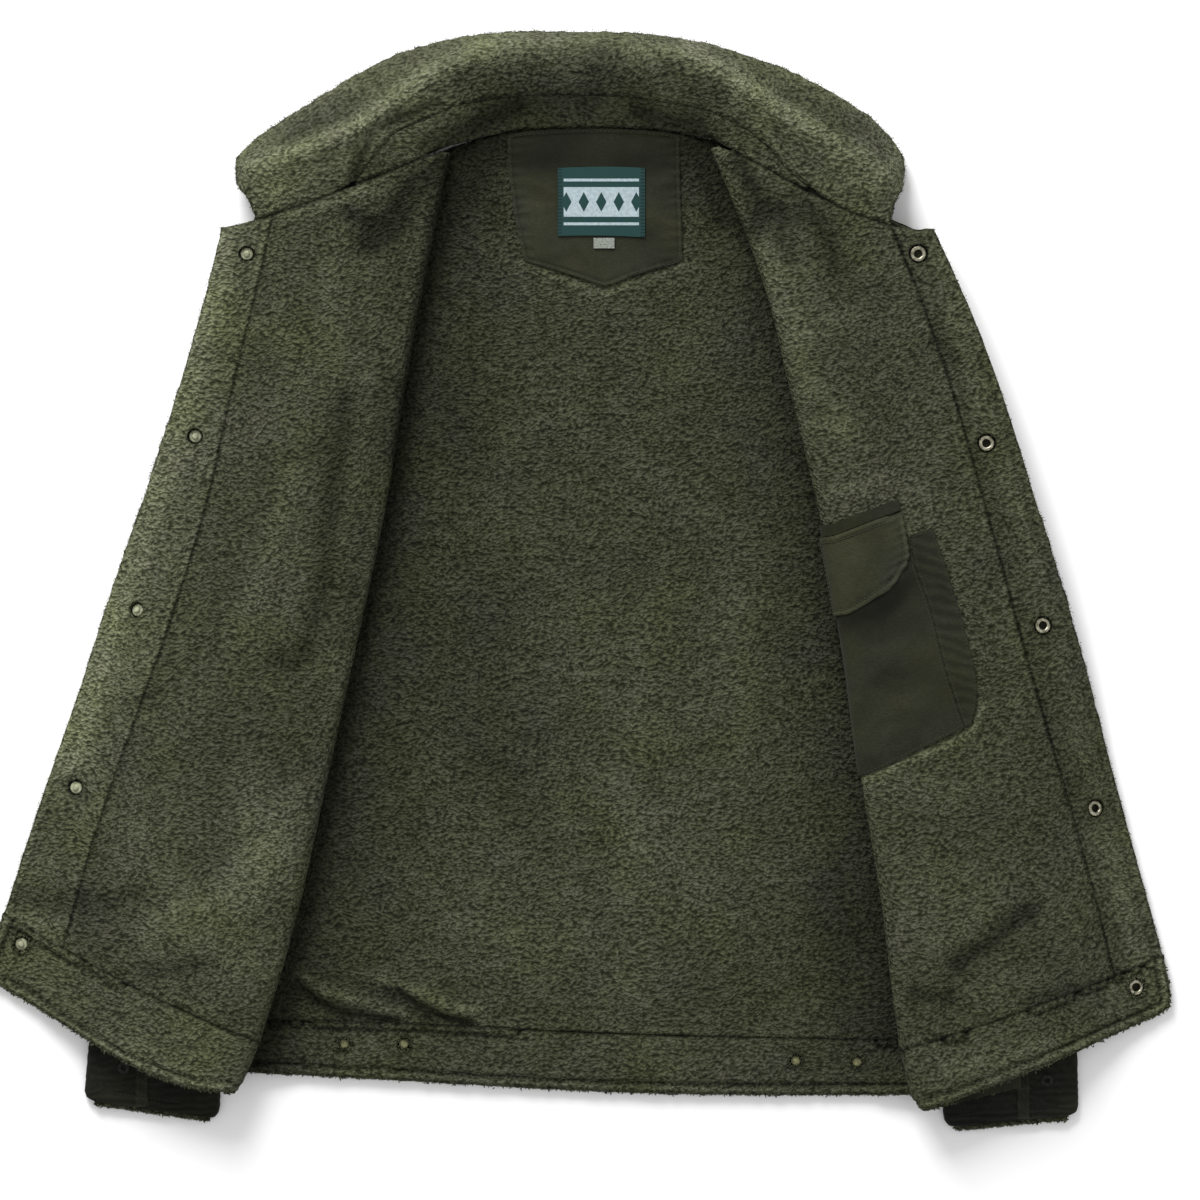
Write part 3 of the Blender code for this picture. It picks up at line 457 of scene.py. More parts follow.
def finished_piece(cloth, name, node, finish, **attributes):
    """The object, riding on the body in its node's place."""
    mesh = bpy.data.meshes.new(name)
    faces = cloth.point_of[cloth.faces]
    mesh.vertices.add(len(cloth.points))
    mesh.vertices.foreach_set("co", cloth.points.astype(np.float32).ravel())
    mesh.loops.add(faces.size)
    mesh.loops.foreach_set("vertex_index", faces.ravel())
    mesh.polygons.add(len(faces))
    mesh.polygons.foreach_set("loop_start", np.arange(0, faces.size, 3))
    mesh.update()
    mesh.validate()
    mesh.shade_smooth()
    mesh.set_sharp_from_angle(angle=SHARP_SHADING)
    for key, values in {"tone": 1.0, "gap": 0.0, **attributes}.items():
        point_layer(mesh, key, values)
    mesh.materials.append(finish)
    piece = place_in_scene(bpy.data.objects.new(name, mesh))
    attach(piece, "root")
    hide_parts(node)
    return piece


# %% [markdown]
# ## What shows
# Most of a folded jacket is hidden inside. Fine triangles all over would be too many. Rays
# straight up tell which faces nothing lies over, and only those are divided finely, so the
# detail goes where it is seen.
# %% Rays
UP = Vector((0, 0, 1))
RAY_START = 2.2 * MM            # above the face, so that a ray clears its own roundness
LEAST_FACING = -0.35            # a face that looks further down than this is an underside

everything = bmesh.new()
for node in NODES.values():
    everything.from_mesh(node.data)
EVERYTHING = BVHTree.FromBMesh(everything)
everything.free()


def seen(cloth):
    """True for each face that nothing lies over."""
    corners = cloth.corners()
    centre = corners.mean(axis=1)
    shown = np.zeros(len(corners), bool)
    for i in np.flatnonzero(unit(cloth.areas())[:, 2] > LEAST_FACING):
        for corner in (centre[i], *corners[i]):
            start = Vector(corner * 0.8 + centre[i] * 0.2) + UP * RAY_START
            if EVERYTHING.ray_cast(start, UP)[0] is None:
                shown[i] = True
                break
    return shown


# %% [markdown]
# ## Relief
# Blender's noise works in a shader, and the mesh needs the same unevenness in its points. One
# smooth random field on a fixed lattice gives it. Distances to rims, seams and listed lines shape
# everything else.
# %% Random field and distances
LATTICE = 32
RANDOM = np.random.default_rng(7).random((LATTICE, LATTICE, LATTICE))


def field(points, size):
    """Smooth noise from -1 to 1 with the given wavelength, at points in metres."""
    p = points / size + 100.0
    low = np.floor(p).astype(int)
    f = p - low
    f = f * f * (3 - 2 * f)
    total = np.zeros(len(points))
    for dx in (0, 1):
        for dy in (0, 1):
            for dz in (0, 1):
                weight = (np.abs(1 - dx - f[:, 0]) * np.abs(1 - dy - f[:, 1])
                          * np.abs(1 - dz - f[:, 2]))
                cell = (low + (dx, dy, dz)) % LATTICE
                total += weight * RANDOM[cell[:, 0], cell[:, 1], cell[:, 2]]
    return total * 2 - 1


def nearest(points, targets, reach):
    """Distance to the nearest target, or reach."""
    found = np.full(len(points), reach)
    if not len(targets):
        return found
    tree = KDTree(len(targets))
    for i, target in enumerate(targets):
        tree.insert(target, i)
    tree.balance()
    low, high = targets.min(axis=0) - reach, targets.max(axis=0) + reach
    for i in np.flatnonzero(((points > low) & (points < high)).all(axis=1)):
        found[i] = min(tree.find(points[i])[2], reach)
    return found


def off_line(points, line):
    """Distance in plan from a row of plan points in millimetres."""
    plan, line = points[:, :2], np.array(line) * MM
    best = np.full(len(points), 1e9)
    for a, b in zip(line[:-1], line[1:]):
        along = np.clip(((plan - a) @ (b - a)) / ((b - a) @ (b - a)), 0, 1)
        best = np.minimum(best, np.linalg.norm(plan - a - along[:, None] * (b - a), axis=1))
    return best


def hill(distance, width):
    return np.exp(-(distance / width) ** 2)


# %% [markdown]
# ## Soft forms
# Cloth that has been folded back keeps soft rolls and hollows, uneven in length, depth and
# spacing. Each row is one of them: height and half width in millimetres, how much light or shade
# is painted on the cloth there, and the line it follows, from above. Rows with no height only
# paint light or shade, such as the shadows that the folded fronts, the collar and the pocket flap
# cast. Rows lie with their piece group.
# %% Forms
# Where the edge of each folded front lies on the back.
RIGHT_FOLD = [(-91, 299), (-103, 256), (-120, 154), (-145, 14), (-171, -101), (-192, -202),
              (-217, -310), (-227, -346)]
LEFT_FOLD = [(99, 312), (123, 252), (146, 173), (176, 43), (197, -79), (218, -230), (230, -335)]
FORMS = {
    "collar": [
        (5.5, 9, 0.83, [(-232, 295), (-199, 305), (-163, 320), (-127, 345), (-99, 366),
         (-73, 376)]),
        (3.5, 8, 0.41, [(-73, 382), (-41, 387), (17, 387), (74, 380)]),
        (5.5, 9, 0.94, [(81, 380), (114, 358), (146, 335), (177, 317), (204, 302), (222, 288)]),
        (-4, 13, -0.34, [(-77, 354), (-34, 360), (17, 360), (74, 357), (103, 346)]),
        (-2, 8, -0.16, [(-207, 320), (-171, 337), (-142, 356)]),
        (-2, 8, -0.16, [(153, 349), (182, 337), (205, 324)]),
        (-1, 8, -0.54, [(-106, 310), (-70, 328), (-41, 340)]),
        (-1, 8, -0.60, [(45, 337), (81, 328), (114, 302)]),
        (1, 9, 0.52, [(-217, 288), (-181, 308), (-145, 324)]),
        (1, 10, 0.52, [(119, 348), (139, 336), (164, 319), (186, 304)]),
        (0, 7, 0.49, [(230, 308), (235, 283)]),
        (1, 12, 0.30, [(45, 373), (63, 341)]),
        (-1, 12, -0.18, [(17, 380), (17, 355)]),
        (1, 10, 0.24, [(-99, 373), (-41, 386)]),
        (-2, 4, -0.55, [(-162, 288), (-155, 302), (-145, 322), (-129, 330), (-99, 341)]),
        (1.5, 5, 0.37, [(-167, 297), (-162, 308), (-152, 327), (-131, 337), (-109, 343)]),
        (1.5, 6, 0.37, [(117, 353), (145, 329), (173, 308), (200, 284), (216, 276)]),
        (1, 4, 0.27, [(131, 322), (146, 306), (170, 289), (192, 277)]),
        (1.5, 12, 0.59, [(-217, 279), (-182, 301), (-148, 315), (-113, 325), (-85, 333)]),
        (-1, 10, -0.24, [(-207, 315), (-190, 325), (-150, 338)]),
        (-1, 9, -0.24, [(129, 358), (163, 339), (194, 318)]),
        (-1, 6, -0.34, [(55, 322), (80, 321), (97, 317)]),
        (1, 7, 0.39, [(20, 338), (50, 339), (78, 336)]),
        (0.5, 28, -0.22, [(-20, 372), (40, 372)]),
    ],
    "back": [
        # The first four rows paint the shade that the folded fronts cast on the back.
        (0, 15, -0.57, RIGHT_FOLD),
        (0, 50, -0.44, RIGHT_FOLD),
        (0, 12, -0.35, LEFT_FOLD),
        (0, 42, -0.37, LEFT_FOLD),
        (-2.5, 3, -0.76, [(-200, -294), (-185, -305), (-169, -313), (-129, -318)]),
        (-2.5, 3, -0.76, [(-129, -296), (-113, -308), (-96, -316), (-76, -320)]),
        (1, 9, 0.11, [(-5, 29), (-11, -101), (-8, -230)]),
        (1, 9, 0.13, [(47, -43), (42, -144), (37, -230)]),
        (1.2, 12, 0.11, [(117, -22), (123, -86), (121, -158)]),
        (-1, 10, -0.11, [(-40, 72), (-52, -43), (-47, -158)]),
        (-1, 9, -0.10, [(19, 180), (17, 108), (21, 43)]),
        (1, 10, 0.13, [(-91, -248), (-63, -263), (-45, -256)]),
        (-1, 9, -0.13, [(-88, -115), (-41, -144)]),
        (2.2, 4, 0.38, [(-163, -283), (-129, -290), (-98, -308), (-80, -312)]),
        (2.0, 4, 0.34, [(-198, -283), (-182, -296), (-164, -304)]),
        (1.2, 3, 0.48, [(-39, 227), (20, 204.5), (78, 226)]),
        (0, 60, -0.30, [(-70, 308), (17, 331), (110, 308)]),
        (0, 20, -0.61, [(-86, 292), (-71, 314), (-55, 323)]),
        (0, 18, -0.68, [(116, 292), (109, 314), (89, 328)]),
        (1, 42, 0.20, [(45, -117), (60, -232)]),
        (0, 24, 0.16, [(-63, -210), (-34, -275)]),
        (0, 22, -0.27, [(186, -217), (197, -325)]),
        (1.5, 4, 0.44, [(-199, -287), (-186, -298), (-167, -300), (-151, -307), (-138, -312),
         (-125, -311)]),
        (-1.5, 4, -0.44, [(-199, -298), (-180, -311), (-164, -318)]),
        (1.5, 4, 0.44, [(-138, -290), (-122, -298), (-102, -300), (-89, -311), (-70, -310)]),
        (-1.5, 4, -0.44, [(-138, -297), (-119, -311), (-102, -320)]),
        (-1, 10, -0.51, [(92, 306), (100, 290), (106, 262)]),
        (-1, 22, -0.18, [(-75, 171), (-77, 60), (-75, -131)]),
        (0.5, 9, 0.30, [(-145, -9), (-150, -63)]),
        (0.5, 60, 0.10, [(80, -90), (110, -150)]),
        (0.5, 40, 0.11, [(-60, -180), (30, -200)]),
        (1, 55, 0.16, [(-80, -262), (90, -268)]),
        (-1, 26, -0.17, [(-146, 70), (-160, -55)]),
        (-1, 36, -0.12, [(-92, 245), (-66, 200)]),
    ],
    "front_right": [
        (0, 9, -0.60, [(-94, 297), (-103, 255), (-120, 153), (-131, 90)]),
        (1.5, 5, 0.46, [(-210, 261), (-178, 268), (-149, 279)]),
        (3, 15, 0.72, [(-207, -166), (-221, -209), (-253, -234), (-300, -259)]),
        (2, 9, 0.32, [(-203, 72), (-221, 14), (-243, -43)]),
        (1.5, 8, 0.21, [(-178, 223), (-171, 151)]),
        (1.5, 8, 0.24, [(-232, 180), (-199, 169)]),
        (-2, 10, -0.51, [(-165, 130), (-174, 72), (-183, -14), (-196, -55)]),
        (-1.5, 8, -0.60, [(-163, 263), (-135, 248)]),
        (-2, 7, -0.43, [(-215, -58), (-205, -63)]),
        (1, 12, 0.81, [(-256, 238), (-271, 173), (-300, 72), (-329, -14), (-351, -79),
         (-365, -137)]),
        (-1.5, 10, -0.43, [(-401, -230), (-351, -234), (-315, -227)]),
        (-2, 6, -0.63, [(-364, -146), (-359, -151)]),
        (-2, 6, -0.63, [(-403, -259), (-400, -266)]),
        (1, 10, 0.43, [(-343, -333), (-257, -365)]),
        (-1.5, 7, -0.32, [(-307, -281), (-264, -277)]),
        (-1, 9, -0.21, [(-336, -101), (-307, -86)]),
        (-2, 11, -0.89, [(-95, 297), (-117, 283), (-131, 261), (-148, 243)]),
        (1, 14, 0.43, [(-234, -138), (-239, -225)]),
        (1, 6, 0.60, [(-239, 269), (-199, 278), (-167, 294)]),
        (-1, 9, -0.34, [(-136, 143), (-146, 71), (-162, -9), (-167, -45)]),
        (-1, 11, -0.29, [(-122, 272), (-124, 245), (-132, 195)]),
        (1, 26, 0.22, [(-290, -240), (-245, -275)]),
        (1, 40, 0.24, [(-315, -190), (-285, -262)]),
    ],
    "front_left": [
        (1.2, 3, 0.70, [(206, -144), (245, -128), (283, -112), (291, -92)]),
        (1.5, 10, 0.40, [(135, 245), (153, 180), (169, 137)]),
        (1, 9, 0.28, [(161, 173), (197, 186)]),
        (1.5, 6, 0.36, [(179, 61), (218, 68)]),
        (1, 7, 0.28, [(169, 106), (197, 108)]),
        (-1.5, 7, -0.44, [(139, 265), (157, 259)]),
        (-1.5, 8, -0.32, [(258, 169), (267, 160)]),
        (1, 10, 0.23, [(205, -148), (254, -158), (294, -150)]),
        (-2.5, 10, -0.68, [(323, -239), (294, -263), (272, -277)]),
        (-1.5, 6, -0.56, [(241, -297), (269, -301)]),
        (-1.5, 6, -0.28, [(326, -304), (369, -294)]),
        (-1, 10, -0.23, [(330, -101), (336, -119)]),
        (0.6, 10, 0.48, [(261, 223), (308, 79), (348, -50), (384, -194), (405, -274)]),
        (1, 14, 0.26, [(189, 114), (205, 74)]),
        (1, 10, 0.40, [(269, -351), (362, -333)]),
        (-1.5, 10, -0.68, [(117, 300), (130, 272), (130, 252)]),
        (-1.5, 9, -0.53, [(163, 272), (179, 247), (186, 222)]),
        (-2, 9, -0.38, [(146, 272), (147, 250), (151, 236)]),
        (-2, 14, -0.29, [(318, -272), (338, -270)]),
        (1, 45, 0.28, [(270, -255), (372, -232)]),
    ],
    "patch": [
        # Rows of no height paint the collar's shadow across the top of the patch, and paler bands.
        (0, 7, -0.30, [(-47, 302), (17, 299), (77, 302)]),
        (0, 5, 0.12, [(-41, 319), (17, 320), (67, 318)]),
        (0, 12, 0.10, [(-27, 263), (-12, 223), (45, 227)]),
        (0, 20, -0.36, [(-48, 321), (17, 327), (77, 323)]),
        (0.6, 4, 0.14, [(-35, 288), (-21, 282)]),
        (0.6, 4, 0.14, [(-37, 268), (-19, 269)]),
        (0.6, 4, 0.12, [(56, 285), (71, 292)]),
        (0.6, 4, 0.12, [(54, 262), (72, 256)]),
        (-0.5, 4, -0.14, [(-23, 228), (-1, 236), (6, 228)]),
        (0, 9, -0.28, [(-40, 304), (10, 306), (45, 303)]),
    ],
    "pocket": [
        # Rows of no height paint the shade under and beside the flap.
        (0, 7, -0.50, [(194, -19), (218, -14), (236, -2)]),
        (0, 14, -0.18, [(194, -19), (218, -14), (236, -2)]),
        (0, 12, -0.18, [(238, 29), (256, -16)]),
        (0, 8, -0.40, [(188, -32), (215, -25), (228, -16)]),
        (0.6, 6, 0.10, [(211, -55), (233, -45), (251, -52)]),
        (0.6, 6, 0.10, [(218, -95), (243, -81)]),
        (-0.5, 6, -0.10, [(207, -81), (233, -66)]),
        (-0.5, 5, -0.10, [(222, -120), (254, -102)]),
        (0, 6, -0.28, [(190, -27), (215, -25), (233, -12)]),
    ],
}
GROUPS = {
    "collar": ("collar_fall", "collar_stand", "under_collar"),
    "back": ("back_lining", "hem_band_back"),
    "front_left": ("front_left_lining", "placket_left", "hem_band_left"),
    "front_right": ("front_right_lining", "placket_right", "hem_band_right"),
    "patch": ("neck_patch",),
    "pocket": ("pocket_bag", "pocket_side"),
}


def formed(name, points):
    """Height in metres, and the light and shade painted on the cloth, that the forms give to a
    node's points.
    """
    group = next((group for group, nodes in GROUPS.items() if name in nodes), None)
    height, tone = np.zeros(len(points)), np.ones(len(points))
    for lift, width, shade, line in FORMS.get(group, ()):
        profile = hill(off_line(points, line), width * MM)
        height += lift * MM * profile
        tone *= 1 + shade * profile
    return height, tone


print({group: len(rows) for group, rows in FORMS.items()}, "forms")


# %% [markdown]
# Where a hem meets a fold or the opening, its corner is turned in and rounds over. Each row is
# a corner in millimetres and how far its tip is drawn in.
# %% Corners
Corner = namedtuple("Corner", "x y pull_x pull_y")
CORNERS = [Corner(-245, -372, -2.0, 3.0), Corner(243, -382, 3.0, 3.2),
           Corner(430, -308, -2.8, 0.8)]
CORNER_REACH = 6 * MM


def tucked(points):
    moved = points.copy()
    for corner in CORNERS:
        away = np.hypot(points[:, 0] - corner.x * MM, points[:, 1] - corner.y * MM)
        pull = np.array([corner.pull_x, corner.pull_y]) * MM
        moved[:, :2] += hill(away, CORNER_REACH)[:, None] * pull
    return moved


print(len(CORNERS), "corners")

# %% [markdown]
# ## Sherpa pieces
# Lining, plackets, hem bands, collar and cuff linings are divided to a few millimetres where they
# show and finer still beside their rims. Then the pile gets its crumbs, seams pull it down, free
# edges round over, hems carry a row of edge stitching, and the snaps sit in dimples.
# %% Divide the sherpa
SHERPA_NODES = ["back_lining", "front_left_lining", "front_right_lining", "placket_left",
                "placket_right", "hem_band_back", "hem_band_left", "hem_band_right",
                "collar_fall", "collar_stand", "cuff_lining_left", "cuff_lining_right"]
HIDDEN_EDGE, MIDDLE_EDGE = 13 * MM, 6 * MM
FINE_EDGE = 3.9 * MM
RIM_EDGE, RIM_BAND = 2.1 * MM, 3.2 * MM

cloths, shown = {}, {}
for name in SHERPA_NODES:
    cloth = Cloth(name)
    cloth.refine(HIDDEN_EDGE)
    cloth.refine(np.where(seen(cloth), MIDDLE_EDGE, HIDDEN_EDGE))
    cloth.refine(np.where(seen(cloth), FINE_EDGE, HIDDEN_EDGE))
    visible = cloth.limit < MIDDLE_EDGE
    beside = nearest(cloth.centres(), cloth.points[cloth.rims()], RIM_BAND) < RIM_BAND
    cloth.refine(np.select([visible & beside, visible], [RIM_EDGE, FINE_EDGE], HIDDEN_EDGE))
    cloths[name], shown[name] = cloth, cloth.share(cloth.limit < MIDDLE_EDGE)
    print(name, len(cloth.faces))

# %% Free edges and seams
JOINED, SNAP_HOLE = 2.4 * MM, 9 * MM
METAL = [name for name in NODES if name.startswith(("snap_", "adjuster_", "cuff_snap"))]
snap_places = np.array([sum(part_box(name), Vector()) / 2 for name in METAL])
rim_points = {name: cloth.points[cloth.rims()] for name, cloth in cloths.items()}
free_rims, seam_rims = {}, {}
for name, points in rim_points.items():
    others = np.vstack([rim_points[other] for other in SHERPA_NODES if other != name])
    joined = nearest(points, others, 2 * JOINED) < JOINED
    hole = nearest(points, snap_places, SNAP_HOLE) < SNAP_HOLE
    seam_rims[name], free_rims[name] = points[joined], points[~joined & ~hole]
print(sum(map(len, seam_rims.values())), "seam points,",
      sum(map(len, free_rims.values())), "free ones")


# %% Snap dimples
Dimple = namedtuple("Dimple", "x y radius depth")
DEPTHS = {"adjuster_stud": -0.8, "snap_socket": 1.0, "snap_post": 0.1, "cuff_snap": 0.1}
HEAP, HEAP_OUT, HEAP_WIDTH = 0.8 * MM, 3.0 * MM, 2.6 * MM
RIM_SHADE, RIM_SHADE_WIDTH = 0.35, 1.6 * MM


def kind_of(name, kinds):
    return next((kind for kind in kinds if name.startswith(kind)), None)


DIMPLES = []
for name in METAL:
    low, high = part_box(name)
    DIMPLES.append(Dimple((low.x + high.x) / 2, (low.y + high.y) / 2, (high.x - low.x) / 2,
                          DEPTHS[kind_of(name, DEPTHS)]))


def dimpled(points):
    """Pile heaped round each snap, and the shade painted against its rim."""
    heap, gap = np.zeros(len(points)), np.zeros(len(points))
    for x, y, radius, depth in DIMPLES:
        away = np.hypot(points[:, 0] - x, points[:, 1] - y) - radius
        heap += HEAP * depth * hill(away - HEAP_OUT, HEAP_WIDTH)
        gap += RIM_SHADE * depth * hill(away, RIM_SHADE_WIDTH)
    return heap, gap


# %% Pile and edges
EDGE_STITCH = {"hem_band_back": 1.0, "hem_band_left": 1.0, "hem_band_right": 1.0,
               "placket_left": 0.25, "placket_right": 0.25}
SEAM_REACH, EDGE_REACH, STITCH_IN = 2.6 * MM, 3.4 * MM, 7.0 * MM
SEAM_DEPTH, EDGE_DEPTH, STITCH_DEPTH = 1.0 * MM, 1.6 * MM, 1.7 * MM
SEAM_MEET, EDGE_WANDER = 0.8 * MM, 0.9 * MM
STITCH_WIDTH, ROLL_WIDTH, PALE_WIDTH = 1.5 * MM, 2.2 * MM, 6 * MM
WANDER, RAGGED, SEAM_UNEVEN = 16 * MM, 5 * MM, 13 * MM     # wavelengths
LUMPS = ((0.0, 6 * MM), (0.3, 11 * MM))                    # a shift of the field, and wavelength
WHOLE = ("collar_fall", "collar_stand", "under_collar")     # these move through and through
TONE_RANGE = (0.3, 1.8)


def shape_pile(name, cloth, weight):
    """Moves a cloth's points; returns how much lighter or darker they are painted, mostly as light
    and shade, and the shade painted into seams, stitch rows and round snaps.
    """
    points, normals = cloth.points, cloth.point_normals()
    sideways = normals * (1.0, 1.0, 0.0)
    wander = field(points, WANDER) * MM
    ragged = field(points + 0.1, RAGGED)
    seam = (1 - nearest(points, seam_rims[name], SEAM_REACH) / SEAM_REACH) ** 2
    seam *= 1 + 0.35 * field(points + 0.2, SEAM_UNEVEN)
    to_edge = nearest(points, free_rims[name], 12 * MM)
    edge = np.clip(1 - to_edge / EDGE_REACH, 0, 1) ** 2
    rolled = EDGE_STITCH.get(name, 0.0)
    stitch = rolled * hill(to_edge - STITCH_IN + wander, STITCH_WIDTH)
    roll = rolled * hill(to_edge - 0.5 * STITCH_IN, ROLL_WIDTH)
    heap, dark = dimpled(points)
    height, tone = formed(name, points)
    crumbs = 0.25 * sum(field(points + shift, size) for shift, size in LUMPS)
    rise = crumbs - 0.1 + roll - (stitch * STITCH_DEPTH + edge * EDGE_DEPTH) / MM
    out = seam * SEAM_MEET + edge * EDGE_WANDER * (0.4 + ragged)
    cloth.points = points + normals * (rise * MM * weight)[:, None] + sideways * out[:, None]
    cloth.points = tucked(cloth.points)
    cloth.points[:, 2] -= seam * SEAM_DEPTH * weight
    cloth.points[:, 2] += height * (1.0 if name in WHOLE else weight) + heap * weight
    # Painted light on lumps and rolls and painted shade in stitch rows and seams; then paler near
    # free edges.
    tone = tone * (1 + 0.12 * crumbs + 0.18 * roll - 0.25 * stitch - 0.15 * seam)
    tone = tone * (1 + 0.30 * hill(to_edge, PALE_WIDTH))
    return np.clip(tone, *TONE_RANGE), np.clip(0.95 * seam + 0.6 * stitch + dark, 0, 1) * weight


# %% Build the sherpa
# Painted light and shade: the pile is one cloth, and each piece's factor makes it lighter or
# darker for the light that falls on it.
PAINTED_LIGHT_TONES = {"collar_fall": 0.98, "collar_stand": 0.90, "back_lining": 0.73, "hem_band_back": 0.83,
         "hem_band_left": 0.96, "hem_band_right": 1.06, "placket_left": 0.72,
         "placket_right": 1.17, "front_left_lining": 0.80, "front_right_lining": 0.82}
ROWS = {"back_lining": 0.50, "hem_band_back": 0.25}
CRUMBS = {"back_lining": 425.0, "collar_fall": 390.0}
OTHER_TONE, OTHER_ROWS, OTHER_CRUMBS = 1.03, 0.1, 415.0
built, fringes = {}, {}
for name, cloth in cloths.items():
    finish = sherpa(f"{name}_sherpa", PAINTED_LIGHT_TONES.get(name, OTHER_TONE), ROWS.get(name, OTHER_ROWS),
                    CRUMBS.get(name, OTHER_CRUMBS))
    tone, gap = shape_pile(name, cloth, shown[name])
    built[name] = finished_piece(cloth, f"{name}_pile", name, finish, tone=tone, gap=gap)
print(sum(len(cloth.faces) for cloth in cloths.values()), "sherpa triangles")


# %% [markdown]
# ## Scattered shapes
# Tufts and stitches repeat a small shape at many points, which is what Geometry Nodes are for.
# A tree makes the shape from its sizes, puts one at each point, turns it by the point's own
# directions, and makes the result real.
# %% Node trees for scattering
def socket(node, name, side="inputs"):
    """The socket in use by that name, where a node has several."""
    return next(s for s in getattr(node, side) if s.name == name and s.enabled)


def scatter_tree(name, sizes, make_shape, make_turn):
    tree = bpy.data.node_groups.new(name, "GeometryNodeTree")
    tree.interface.new_socket("Geometry", in_out="INPUT", socket_type="NodeSocketGeometry")
    for key, value in sizes.items():
        item = tree.interface.new_socket(key, in_out="INPUT", socket_type="NodeSocketFloat")
        item.default_value = value
    tree.interface.new_socket("Material", in_out="INPUT", socket_type="NodeSocketMaterial")
    tree.interface.new_socket("Geometry", in_out="OUTPUT", socket_type="NodeSocketGeometry")
    given = tree.nodes.new("NodeGroupInput").outputs
    size = add(tree, "GeometryNodeInputNamedAttribute", {"Name": "size"}, data_type="FLOAT")
    placed = add(tree, "GeometryNodeInstanceOnPoints",
                 {"Points": given["Geometry"], "Instance": make_shape(tree, given),
                  "Rotation": make_turn(tree), "Scale": size.outputs[0]})
    real = add(tree, "GeometryNodeRealizeInstances", {0: placed.outputs[0]})
    done = add(tree, "GeometryNodeSetMaterial", {"Geometry": real.outputs[0],
                                                 "Material": given["Material"]})
    add(tree, "NodeGroupOutput", {0: done.outputs[0]})
    return tree


def named_vector(tree, name):
    node = add(tree, "GeometryNodeInputNamedAttribute", {"Name": name},
               data_type="FLOAT_VECTOR")
    return node.outputs[0]


def random_value(tree, kind, low, high, seed):
    node = add(tree, "FunctionNodeRandomValue", data_type=kind)
    socket(node, "Min").default_value = low
    socket(node, "Max").default_value = high
    socket(node, "Seed").default_value = seed
    return socket(node, "Value", "outputs")


GRAIN_TONE = 1.30               # loose curls and thread catch more light


def scattered(name, node, tree, finish, points, size, **directions):
    """A plain mesh of the tree's shape at every point."""
    mesh = bpy.data.meshes.new(name)
    mesh.from_pydata([tuple(p) for p in points], [], [])
    for key, values in {"size": size, **directions}.items():
        point_layer(mesh, key, values)
    seeds = place_in_scene(bpy.data.objects.new(f"{name}_points", mesh))
    modifier = seeds.modifiers.new("scatter", "NODES")
    modifier.node_group = tree
    for item in tree.interface.items_tree:
        if item.in_out == "INPUT" and item.socket_type == "NodeSocketMaterial":
            modifier[item.identifier] = finish
    evaluated = seeds.evaluated_get(bpy.context.evaluated_depsgraph_get())
    real = bpy.data.meshes.new_from_object(evaluated)
    bpy.data.objects.remove(seeds)
    point_layer(real, "tone", GRAIN_TONE)
    point_layer(real, "gap", 0.0)
    real.shade_smooth()
    piece = place_in_scene(bpy.data.objects.new(name, real))
    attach(piece, "root")
    return piece


# %% [markdown]
# ## Tufts
# Along a cut edge the pile isn't trapped by a seam, so its curls stand out past the edge. Hair
# would be finer, but it isn't a mesh. Each tuft is a small bent, blunt cone.
# %% Tuft tree
TUFT_TIP, TUFT_STRAY = 0.35 * MM, Vector((0.75, 0.75, 0.55))


def tuft_shape(tree, given):
    cone = add(tree, "GeometryNodeMeshCone",
               {"Vertices": 3, "Side Segments": 2, "Radius Top": TUFT_TIP,
                "Radius Bottom": given["Thickness"], "Depth": given["Length"]},
               fill_type="NGON")
    place = add(tree, "GeometryNodeInputPosition").outputs[0]
    height = add(tree, "ShaderNodeSeparateXYZ", {0: place}).outputs[2]
    bend = maths(tree, "MULTIPLY", maths(tree, "MULTIPLY", height, height), given["Bend"])
    offset = add(tree, "ShaderNodeCombineXYZ", {0: bend}).outputs[0]
    return add(tree, "GeometryNodeSetPosition", {"Geometry": cone.outputs["Mesh"],
                                                 "Offset": offset}).outputs[0]


def tuft_turn(tree):
    stray = random_value(tree, "FLOAT_VECTOR", -TUFT_STRAY, TUFT_STRAY, 3)
    aim = vector_maths(tree, "ADD", named_vector(tree, "aim"), stray)
    turn = add(tree, "FunctionNodeAlignRotationToVector", {"Vector": aim}, axis="Z")
    spin = random_value(tree, "FLOAT", 0.0, math.tau, 5)
    spin = add(tree, "ShaderNodeCombineXYZ", {2: spin}).outputs[0]
    spin = add(tree, "FunctionNodeEulerToRotation", {0: spin}).outputs[0]
    return add(tree, "FunctionNodeRotateRotation", {0: turn.outputs[0], 1: spin},
               rotation_space="LOCAL").outputs[0]


TUFT = scatter_tree("tuft", {"Length": 1.5 * MM, "Thickness": 0.7 * MM, "Bend": 420.0},
                    tuft_shape, tuft_turn)

